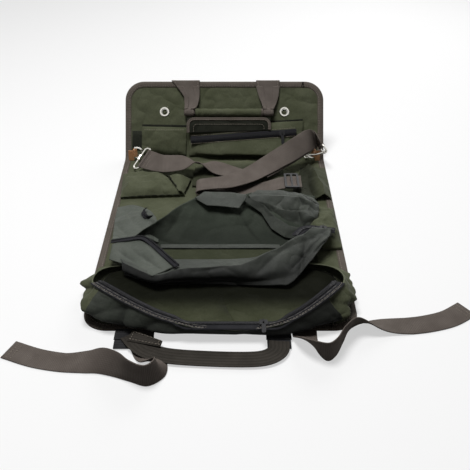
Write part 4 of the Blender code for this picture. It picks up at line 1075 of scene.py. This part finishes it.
floor_cloth = MOUTH + (low - MOUTH) * np.linspace(0.002, 0.985, 40)[:, None, None]
floor_cloth = np.concatenate([floor_cloth, floor_cloth[:, :1]], 1)
floor_cloth[..., 2] = 0.0040 + 0.0004 * crumple(floor_cloth, 0.03, 61)
inlay = sheet("main_floor_lining", floor_cloth[::-1], SHADED_OLIVE, 0.0006)
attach(inlay, "lower")
back_line = mm([(-115, -104.5, 13.5), (-60, -104, 12), (20, -104, 12), (100, -104.5, 13)])
back_chain = zip_run("main_back_zip", smooth_line(back_line, 14), (0, -1, -0.2),
                     (0, -0.25, 0.97), (-0.003, 0.006), teeth_off=0.006, rows=(1,))
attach(back_chain, "lower")


# Middle pocket's zips: black tape sewn to the lining. One length runs in from the left edge over
# the gusset, the other is the end of the zip round the right corner under its slider.

UP = np.array([0, 0, 1.0])
SLIDER, SLIDE_WAY = np.array([0.150, -0.038, 0.0276]), np.array([0.978, -0.208, 0])

left_tape = smooth_line(mm([(-163, -60, 19.5), (-140, -61.5, 24.5), (-117, -63, 28.5),
                            (-100, -80, 29), (-78, -112, 30.5), (-60, -138, 32.5)]), 14)
level = unit(np.cross(np.gradient(left_tape, axis=0), UP))
left_zip = zip_run("middle_left_zip", left_tape + 0.0006 * UP, -level, UP, (-0.004, 0.004),
                   teeth_off=0.002, rows=(1,))
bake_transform(left_zip)
start, stop = SLIDER - 0.013 * SLIDE_WAY, SLIDER + 0.018 * SLIDE_WAY
arc = [(0.108, -0.060, 0.0300), (0.120, -0.0400, 0.0285), start - (stop - start) * 0.12, start,
       (start + stop) / 2, stop]
arc_line = smooth_line(arc, 16)
level = unit(np.cross(UP, np.gradient(arc_line, axis=0)))
right_zip = zip_run("middle_right_zip", arc_line, level, UP, (-0.007, 0.007))
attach(right_zip, "middle")
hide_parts("middle_zip")


# Shoulder strap: taupe webbing sewn round its two bar loops. It turns from flat to edge between
# its stations, each a place and a width direction, and loops under itself before the adjuster.

TAUPE = ribbed("taupe_webbing", (0.092, 0.077, 0.067), (0.125, 0.107, 0.094), 0.0011, 0.00022)
LOOPS = {
    "left": ((-0.1402, 0.1950, 0.0220), (0.481, 0.735, 0.478), (0.786, -0.606, 0.124)),
    "right": ((0.1720, 0.2140, 0.0370), (0.0, 0.829, -0.559), (-0.600, 0.447, 0.663)),
}
EYE = 0.0026
STRAP = 0.038
LEFT_RUN = [
    (-0.1050, 0.1680, 0.0275, -0.05, 0.91, 0.40), (-0.0710, 0.1727, 0.0265, -0.05, 0.97, 0.20),
    (-0.0436, 0.1650, 0.0300, 0.05, 0.84, -0.54), (-0.0180, 0.1637, 0.0235, 0.12, 0.99, 0.03),
    (0.0080, 0.1530, 0.0205, 0.50, 0.86, 0.0), (0.0300, 0.1400, 0.0198, 0.62, 0.78, 0.0),
]
RIGHT_RUN = [
    (0.1610, 0.2210, 0.0475, -0.20, -0.20, 0.95), (0.1440, 0.2091, 0.0485, -0.28, 0.53, 0.79),
    (0.1247, 0.1945, 0.0430, -0.25, 0.60, 0.75), (0.0964, 0.1760, 0.0345, -0.35, 0.80, 0.48),
    (0.0640, 0.1480, 0.0285, -0.60, 0.77, 0.20), (0.0400, 0.1290, 0.0255, -0.50, 0.85, 0.12),
    (0.0093, 0.1120, 0.0240, -0.30, 0.93, 0.05), (-0.0157, 0.1090, 0.0225, 0.0, 1.0, 0.0),
    (-0.0390, 0.1100, 0.0185, 0.0, 1.0, 0.0), (-0.0452, 0.1100, 0.0138, 0.0, 1.0, 0.0),
    (-0.0400, 0.1100, 0.0095, 0.0, 1.0, 0.0), (-0.0250, 0.1095, 0.0080, 0.0, 1.0, 0.0),
    (0.0030, 0.1060, 0.0080, 0.05, 1.0, 0.0), (0.0325, 0.1035, 0.0090, 0.0, 1.0, 0.05),
    (0.0560, 0.1050, 0.0125, 0.0, 1.0, 0.0), (0.0780, 0.1080, 0.0170, 0.0, 1.0, 0.0),
    (0.0960, 0.1110, 0.0212, 0.0, 1.0, 0.0), (0.1130, 0.1130, 0.0222, 0.0, 1.0, 0.0),
    (0.1300, 0.1150, 0.0222, 0.0, 1.0, 0.0),
]


def strap(name, centres, across, widths, material, thickness=0.0017):
    """Webbing: a flat closed skin with full edges through centres, each with a width direction."""
    centres, across = np.asarray(centres, float), unit(across)
    lift = unit(np.cross(np.gradient(centres, axis=0), across))
    half, thick = np.broadcast_to(widths, len(centres)) / 2, thickness / 2
    section = [(-1.0, 0.0), (-0.985, 0.8), (-0.94, 1.0), (-0.5, 0.85), (0.0, 0.85), (0.5, 0.85),
               (0.94, 1.0), (0.985, 0.8)]
    section += [(-a, -b) for a, b in section]
    rings = [centres + across * (a * half)[:, None] + lift * (b * thick) for a, b in section]
    return tube(name, np.stack(rings, 1), material)


def along_stations(stations, steps=12):
    line = smooth_line(stations, steps)
    return line[:, :3], line[:, 3:6]


def looped_strap(name, loop, stations):
    """A strap from the eye round its loop's bar along its stations."""
    centre, bar, away = (np.array(v) for v in LOOPS[loop])
    bar, away = unit(bar), unit(away)
    across = bar if bar @ np.array(stations[0][3:]) >= 0 else -bar
    start = centre + away * EYE
    centres, ways = along_stations([(*start, *across)] + stations)
    parts = [strap(name, centres, ways, STRAP, TAUPE)]
    lift = np.cross(away, across)
    eye = [centre + EYE * (away * math.cos(a) + lift * math.sin(a))
           for a in np.linspace(0, math.tau * 0.97, 22)]
    parts.append(strap(name + "_eye", eye, [across] * 22, STRAP, TAUPE, 0.0015))
    side = across * (STRAP / 2 - 0.003)
    for gap in (0.006, 0.012):
        line = np.linspace(start + away * gap - side, start + away * gap + side, 20)
        parts.append(stitches(name + "_seam", line + lift * 0.0010, lift))
    if loop == "right":
        # the webbing lies double along this stretch
        part = slice(10, 62)
        lift = unit(np.cross(np.gradient(centres, axis=0), ways))
        lift *= np.sign(lift[:, 2:])
        under = (centres - lift * 0.0034 - unit(ways) * 0.0020)[part]
        parts.append(strap(name + "_under", under, ways[part], STRAP, TAUPE, 0.0015))
    return joined(name, parts)


for loop, stations in (("left", LEFT_RUN), ("right", RIGHT_RUN)):
    name = "strap_" + loop + "_run"
    made = looped_strap(name + "_webbing", loop, stations)
    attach(made, "strap")
    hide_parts(name)


# Tie straps: webbing that comes out from under the bottom edge, stands on its edge in the bend
# and lies flat again, with a sewn end. A station is a place in millimetres and a lean in degrees.

TIE = 0.032
TIES = {
    "left": [
        (-100, -233.6, 0), (-98.5, -252, 0), (-90, -276, 0), (-77, -295, 25), (-70, -314, 70),
        (-84, -329, 86), (-105, -321, 84), (-124, -308, 62), (-143, -298.5, 42),
        (-162, -293.5, 14), (-192, -290.5, 0), (-225, -283, 0), (-262, -268, 0),
    ],
    "right": [
        (108, -233.6, 0), (108, -250, 12), (113, -272, 55), (130, -289, 84), (143, -280, 88),
        (156, -256, 84), (173, -234, 62), (208, -227, 14), (245, -224, 0), (272, -219, 0),
        (300, -209, 0), (328, -190, 0),
    ],
}


def lying(stations):
    """Stations of place and lean to centres and width directions; it stands up as it leans."""
    line = smooth_line(stations, 12)
    lean = np.radians(np.clip(line[:, 2:], 0.0, 90.0))
    ground = np.column_stack([line[:, :2] / 1000, TIE / 2 * np.sin(lean) + 0.0011])
    level = unit(np.cross(np.gradient(ground * (1, 1, 0), axis=0), UP))
    return ground, level * np.cos(lean) + UP * np.sin(lean)


for side, stations in TIES.items():
    centres, across = lying(stations)
    parts = [strap("tie_" + side + "_webbing", centres, across, TIE, TAUPE)]
    across_end = unit(across[-1]) * (TIE / 2 - 0.0015)
    back = unit(centres[-4] - centres[-1])
    for gap in (0.006, 0.012):
        middle = centres[-1] + back * gap + (0, 0, 0.0010)
        line = np.linspace(middle - across_end, middle + across_end, 16)
        parts.append(stitches("tie_seam", line, UP))
    made = joined("tie_" + side + "_webbing", parts)
    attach(made, "tie_" + side)
    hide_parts("tie_" + side)


# Bottom handle: ribbed webbing whose doubled end is sewn at the left, on two stubs that come out
# from under the bottom edge, painted near black as the shadow under it.

BAR_WEB = ribbed("bar_webbing", (0.027, 0.024, 0.020), (0.043, 0.038, 0.032), 0.0024, 0.0008, "Y")
SHADOWED_WEB = ribbed("black_webbing", (0.016, 0.016, 0.017), (0.030, 0.030, 0.032))
DOUBLED = mm([(-115, -260), (-73, -270), (-71.2, -260), (-110.8, -240)])
SEWN = 0.0098


def on_doubled(u, v, height):
    """A point of the doubled end at shares along and across it."""
    u, v = np.asarray(u, float)[..., None], np.asarray(v, float)[..., None]
    a, b, c, d = DOUBLED
    flat = (a * (1 - u) + b * u) * (1 - v) + (d * (1 - u) + c * u) * v
    return np.concatenate([flat, 0 * u + height], -1)


def leg(name, x, places, width, thickness=0.0017):
    """Webbing painted near black as shadow, along places (y, z), lying level across."""
    centres, across = along_stations([(x, y, z, 1, 0, 0) for y, z in places])
    return strap(name, centres, across, width, SHADOWED_WEB, thickness)


bar = smooth_line(mm([(-113.5, -247, 6.6), (-103, -262, 6.2), (-88, -274.5, 5), (-60, -283, 4.2),
                      (-11, -287, 3.6), (36, -288.5, 4), (59, -285, 4.4), (72.5, -274, 5),
                      (74.5, -258, 5.6)]), 12)
ahead = np.gradient(bar, axis=0)
bar_across = np.column_stack([-ahead[:, 1], ahead[:, 0], np.zeros(len(bar))])
parts = [strap("bottom_bar", bar, bar_across, 0.0262, BAR_WEB, 0.0018)]
grid = on_doubled(*np.meshgrid(np.linspace(0, 1, 40), np.linspace(0, 1, 16)), 0.0084)
grid[..., 2] += 0.0008 * level_crumple(grid[..., 0], grid[..., 1], 0.02, 83)
parts.append(sheet("bottom_doubled", grid, BAR_WEB, 0.0016))
for a, b, count in (((0.08, 0), (0.08, 1), 16), ((0.92, 0), (0.92, 1), 16),
                    ((0, 0.15), (1, 0.15), 30), ((0, 0.85), (1, 0.85), 30)):
    line = np.linspace(on_doubled(*a, SEWN), on_doubled(*b, SEWN), count)
    parts.append(stitches("bottom_seam", line, UP))
for x, width in ((-0.1215, 0.022), (0.0745, 0.030)):
    places = (-0.2540, 0.0036), (-0.2620, 0.0034), (-0.2680, 0.0026)
    parts.append(leg("bottom_leg", x, places, width))
made = joined("bottom_handle_webbing", parts)
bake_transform(made)
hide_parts("bottom_handle")
for side, x, width in (("left", -0.1215, 0.024), ("right", 0.0745, 0.032)):
    places = (-0.2330, 0.0030), (-0.2430, 0.0044), (-0.2530, 0.0040)
    made = leg("bottom_stub_" + side, x, places, width, 0.0018)
    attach(made, "lower")
    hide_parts("bottom_anchor_" + side)


# Top handle: two webbing legs that come over the flap's edge and fold narrower to the knobs round
# the grip's ends. A leg's middle line is (along, off the face, tilt) on the flap's plane; each leg
# adds its own sideways shifts and its widths at the same seven stations.

LEFT_LEG, RIGHT_LEG = -0.063, 0.079
GRIP_S, GRIP_N = 0.0815, 0.0115
OUTWARD = np.array((0, -0.83, 0.56))
LEG_LINE = [(0.1415, -0.0010, 0), (0.1400, 0.0022, 0), (0.128, 0.0026, 0), (0.112, 0.0044, 0.02),
            (0.099, 0.0070, 0.05), (0.0900, 0.0112, 0.10), (0.0860, 0.0160, 0.16)]
LEGS = [
    (LEFT_LEG, 1, mm([-7.5, -7, -2, 3.5, 3.5, 2, 0]), mm([52, 51, 40, 28.5, 25, 22, 18])),
    (RIGHT_LEG, -1, mm([0, 0, 0, 1, 1.5, 1, 0]), mm([43, 43, 42, 36, 27, 21, 18])),
]


def grip_ring(x, radius, angles):
    """Points round the grip's axis, at one radius or at one for each angle."""
    round_it = [GRIP_S + radius * np.cos(angles), GRIP_N + radius * np.sin(angles)]
    return flap_point(np.column_stack([np.full(len(angles), x), *round_it]))


parts = []
for x, turn, shifts, spans in LEGS:
    stations = []
    for shift, (s, n, tilt) in zip(shifts, LEG_LINE):
        spot = flap_point((x + shift, s, n))
        way = flap_point((x + shift + 1, s, n + tilt * turn)) - spot
        stations.append((*spot, *way))
    centres, across = along_stations(stations, 10)
    count = len(centres)
    widths = np.interp(np.linspace(0, 1, count), np.linspace(0, 1, 7), spans)
    legs, folds = [strap("top_leg", centres, across, widths, TAUPE, 0.0018)], []
    upward = unit(np.cross(across, np.gradient(centres, axis=0)))
    upward *= np.sign(upward @ OUTWARD)[:, None]
    for way in (-1, 1):
        edge_line = centres + unit(across) * (way * (widths / 2 - 0.0035))[:, None]
        edge_line = edge_line[3:int(0.75 * count)] + OUTWARD * 0.0012
        folds.append(stitches("leg_edge_row", edge_line, OUTWARD))
        turned_in = 0.30 * widths
        middle = centres + unit(across) * (way * (widths - turned_in) / 2)[:, None]
        part = slice(int(0.30 * count), None)
        folds.append(strap("top_leg_fold", (middle + upward * 0.0017)[part], across[part],
                           turned_in[part], TAUPE, 0.0016))
    rings, around = [], np.linspace(0, math.tau, 28, endpoint=False)
    for k in np.linspace(-0.0095, 0.0095, 14):
        radius = 0.0065 - 0.0014 * (abs(k) / 0.0095) ** 4
        rings.append(grip_ring(x + k, radius * (1 + 0.05 * np.sin(3 * around + 40 * k)), around))
    legs.append(tube("top_knob", rings, TAUPE))
    sewn = np.linspace(-1.3, 2.2, 30)
    ups = grip_ring(0, 1, sewn) - flap_point((0, GRIP_S, GRIP_N))
    seams = [stitches("knob_seam", grip_ring(x + k, 0.0067, sewn), ups) for k in (-0.006, 0.006)]
    parts += legs + folds + seams
made = joined("top_handle_webbing", parts)
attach(made, "top_handle")
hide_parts("top_handle")


# The grip: olive canvas rolled a little more than once round its core between the knobs, with a
# curl at its left end and a bound right end.

ROLL_LEFT, ROLL_RIGHT = -0.0515, 0.0670
rings, around = [], np.linspace(0, math.tau * 1.08, 60)
for x in np.linspace(ROLL_LEFT, ROLL_RIGHT, 110):
    end = min(abs(x - ROLL_LEFT), abs(x - ROLL_RIGHT))
    radius = 0.0063 + 0.0005 * ease(end, 0.0, 0.006)
    radius += 0.0002 * (math.sin(x * 310) + math.sin(x * 131))
    rings.append(np.vstack([grip_ring(x, radius + 0.0005 * around / 6.3, around + 2.4),
                            grip_ring(x, radius - 0.0014, around[::-1] + 2.4)]))
roll = tube("grip_roll", rings, OLIVE)
around = np.linspace(0, math.tau, 40, endpoint=False)
curl = tube("grip_curl", [grip_ring(x, 0.0074 + 0.0002 * math.sin(900 * x), around)
                          for x in np.linspace(ROLL_LEFT - 0.0005, -0.0455, 10)], OLIVE)
bound_end = tube("grip_end", [grip_ring(x, 0.0072, around)
                              for x in np.linspace(ROLL_RIGHT - 0.0005, 0.0700, 6)], BINDING)
made = joined("grip_roll", [roll, curl, bound_end])
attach(made, "top_handle")
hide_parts("grip_wrap")


# The grip's flap: dark cloth that hangs from the roll and bows out a little before its slanting
# hem, bound round its other three sides, with two rows of stitches inside the binding.

GRIP_DARK = canvas("grip_dark_canvas", (0.014, 0.015, 0.011), (0.024, 0.025, 0.019), 0.9, 0.06)
COVER_LEFT, COVER_RIGHT, COVER_TOP = -0.068, 0.084, 0.0725


def cover_hem(x):
    return 0.0445 + 0.035 * (x - COVER_LEFT)


def cover_height(s):
    fall = (COVER_TOP - s) / 0.028
    return GRIP_N + 0.0019 + 0.0006 * np.sin(math.pi * np.clip(fall, 0, 1)) - 0.0004 * fall


def cover_rim(inset, corner):
    """The line up one side of the grip flap, over its top and down the other, drawn in."""
    left, right, top = COVER_LEFT + inset, COVER_RIGHT - inset, COVER_TOP - inset
    a = np.linspace(0, math.pi / 2, 8)
    far, near = corner * (1 - np.cos(a)), corner * (1 - np.sin(a))
    path = np.vstack([[(left, cover_hem(left))], np.column_stack([left + far, top - near]),
                      np.column_stack([right - near, top - far]), [(right, cover_hem(right))]])
    run = run_of(path)
    return sampled(np.linspace(0, run[-1], 120), run, path)


def on_cover(path, out):
    return flap_point(np.column_stack([path, cover_height(path[:, 1]) + out]))


x, k = np.meshgrid(np.linspace(-0.0675, 0.0835, 100), np.linspace(0, 1, 26))
s = cover_hem(x) * (1 - k) + (COVER_TOP - 0.0005) * k
n = cover_height(s) + 0.0003 * level_crumple(x, s, 0.02, 72)
parts = [sheet("cover_face", flap_point(np.stack([x, s, n], -1)), GRIP_DARK, 0.0020)]
rim = cover_rim(0.0026, 0.0105)
ahead = np.gradient(rim, axis=0)
rim_across = flap_point(np.column_stack([-ahead[:, 1], ahead[:, 0], 0 * ahead[:, 0]]))
rim_across -= flap_point(np.zeros(3))
parts.append(strap("cover_binding", on_cover(rim, 0.0002), rim_across, 0.0052, BINDING, 0.0028))
for inset, corner in ((0.0045, 0.0090), (0.0125, 0.0060)):
    parts.append(stitches("cover_rows", on_cover(cover_rim(inset, corner), 0.0017), OUTWARD))
made = joined("grip_cover", parts)
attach(made, "grip_flap")
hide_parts("grip_flap")


# Handle anchors: taupe webbing patches on the back of the flap behind the two legs of the handle,
# each sewn on with a boxed cross.

BOXED_CROSS = mm([(-15, 84), (15, 84), (15, 110), (-15, 110), (-15, 84), (15, 110), (15, 84),
                  (-15, 110)])
for side, x in (("left", LEFT_LEG), ("right", RIGHT_LEG)):
    xx, ss = np.meshgrid(np.linspace(x - 0.0188, x + 0.0188, 40), np.linspace(0.0803, 0.1388, 60))
    patch = flap_point(np.stack([xx, ss, 0 * xx - 0.0040], -1))
    parts = [sheet("anchor_patch_" + side, patch, TAUPE, 0.0014)]
    path = np.column_stack([BOXED_CROSS + (x, 0), np.full(8, -0.0049)])
    for a, b in zip(path[:-1], path[1:]):
        parts.append(stitches("anchor_seam", flap_point(np.linspace(a, b, 20)), -OUTWARD))
    made = joined("anchor_patch_" + side, parts)
    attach(made, "flap")
    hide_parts("handle_anchor_" + side)


# Eyelets: nickel flanges pressed into the flap. Its back cloth isn't pierced, so each eye shows a
# thin disc of olive cloth at its far end.

DISC = 0.0047
turns, backs = np.linspace(0, math.tau, 32, endpoint=False), []
for x, along in EYES:
    eye = np.column_stack([x + DISC * np.cos(turns), along + DISC * np.sin(turns)])
    rings = [flap_point(np.column_stack([eye, np.full(32, off)])) for off in (-0.0026, -0.0020)]
    backs.append(tube("eyelet_back", rings, OLIVE))
eyelet_backs = joined("eyelet_backs", backs)
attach(eyelet_backs, "flap")


# Hardware that keeps the frame's shapes: only its finish is set here. Nickel for rings, loops and
# eyelets, black for zip sliders and the adjuster, tan leather for the two tabs.


def grained(name, colour, worn):
    """Vegetable leather: pebbled grain and darker handled patches."""
    made, tree, shader = new_material(name)
    place = coordinates(tree)[0]
    cells = node(tree, "ShaderNodeTexVoronoi", Vector=place, Scale=900.0)
    patches = ramp(tree, noise(tree, place, 55.0), 0.35, 0.7)
    surface(tree, shader, Base_Color=mix(tree, patches, colour, worn), Roughness=0.55)
    under = bump(tree, shader, noise(tree, place, 160.0, 5.0), 0.25, 0.0008)
    bump(tree, shader, cells.outputs["Distance"], 0.2, 0.0002, under)
    return made


HARD = [
    (metal("nickel", (0.60, 0.585, 0.54), 0.20),
     ["eyelet_left", "eyelet_right", "d_ring_left", "d_ring_right", "loop_left", "loop_right",
      "hook_left", "hook_right"]),
    (metal("black_metal", (0.012, 0.012, 0.013), 0.45, 0.0),
     ["flap_slider", "flap_pull", "middle_slider", "middle_pull", "main_slider", "main_pull"]),
    (metal("black_plastic", (0.016, 0.016, 0.017), 0.35, 0.0), ["strap_adjuster"]),
    (grained("tan_leather", (0.50, 0.26, 0.12), (0.40, 0.19, 0.085)),
     ["leather_tab_left", "leather_tab_right"]),
]
for finish, names in HARD:
    for name in names:
        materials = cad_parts[name].data.materials
        materials.clear()
        materials.append(finish)


# Floor and surroundings: a grey floor that reads as almost white from the camera and gives back
# little light, in a white world that is dim for everything but the camera and reflections.

floor_material, tree, shader = new_material("floor")
rays = node(tree, "ShaderNodeLightPath")
dim = node(tree, "ShaderNodeMapRange", Value=rays.outputs["Is Diffuse Ray"], To_Min=0.80,
           To_Max=0.22)
surface(tree, shader, Base_Color=dim.outputs["Result"], Roughness=0.9)
white = node(tree, "ShaderNodeEmission", Strength=1.0)
catcher = node(tree, "ShaderNodeMixShader",
               Fac=calc(tree, "MULTIPLY", rays.outputs["Is Camera Ray"], 0.55))
feed(tree, catcher.inputs[1], shader.outputs["BSDF"])
feed(tree, catcher.inputs[2], white.outputs["Emission"])
feed(tree, tree.nodes["Material Output"].inputs["Surface"], catcher.outputs["Shader"])
bpy.ops.mesh.primitive_plane_add(size=12, location=(0, 0, 0))
floor = bpy.context.object
floor.name = "floor"
floor.data.materials.append(floor_material)

world = bpy.data.worlds.new("studio")
world.use_nodes = True
bpy.context.scene.world = world
tree = world.node_tree
rays = node(tree, "ShaderNodeLightPath")
seen = calc(tree, "MAXIMUM", rays.outputs["Is Camera Ray"], rays.outputs["Is Glossy Ray"])
level = node(tree, "ShaderNodeMapRange", Value=seen, To_Min=0.08, To_Max=1.0)
surface(tree, tree.nodes["Background"], Color=(1.0, 1.0, 1.0), Strength=level.outputs["Result"])


# Light and camera: a soft key from above and a wide lamp behind; the camera stands where the
# photo was taken from, 34 degrees above the ground.


def lamp(name, place, size, power):
    """A round lamp that aims at the roll's middle."""
    light = bpy.data.lights.new(name, "AREA")
    light.shape, light.size, light.energy = "DISK", size, power
    made = bpy.data.objects.new(name, light)
    bpy.context.scene.collection.objects.link(made)
    made.location = place
    made.rotation_euler = (-Vector(place)).to_track_quat("-Z", "Y").to_euler()


lamp("key", (-0.25, -0.05, 1.75), 0.7, 31)
lamp("back", (0.5, 1.2, 0.9), 1.0, 9)

camera_data = bpy.data.cameras.new("camera")
camera_data.lens, camera_data.sensor_width = 54.77, 36.0
camera = bpy.data.objects.new("camera", camera_data)
camera.location = (0.0192, -0.9245, 0.6154)
camera.rotation_euler = (math.radians(56), 0, 0)
bpy.context.scene.collection.objects.link(camera)
bpy.context.scene.camera = camera
bpy.context.scene.view_settings.view_transform = "Standard"

bpy.context.view_layer.update()
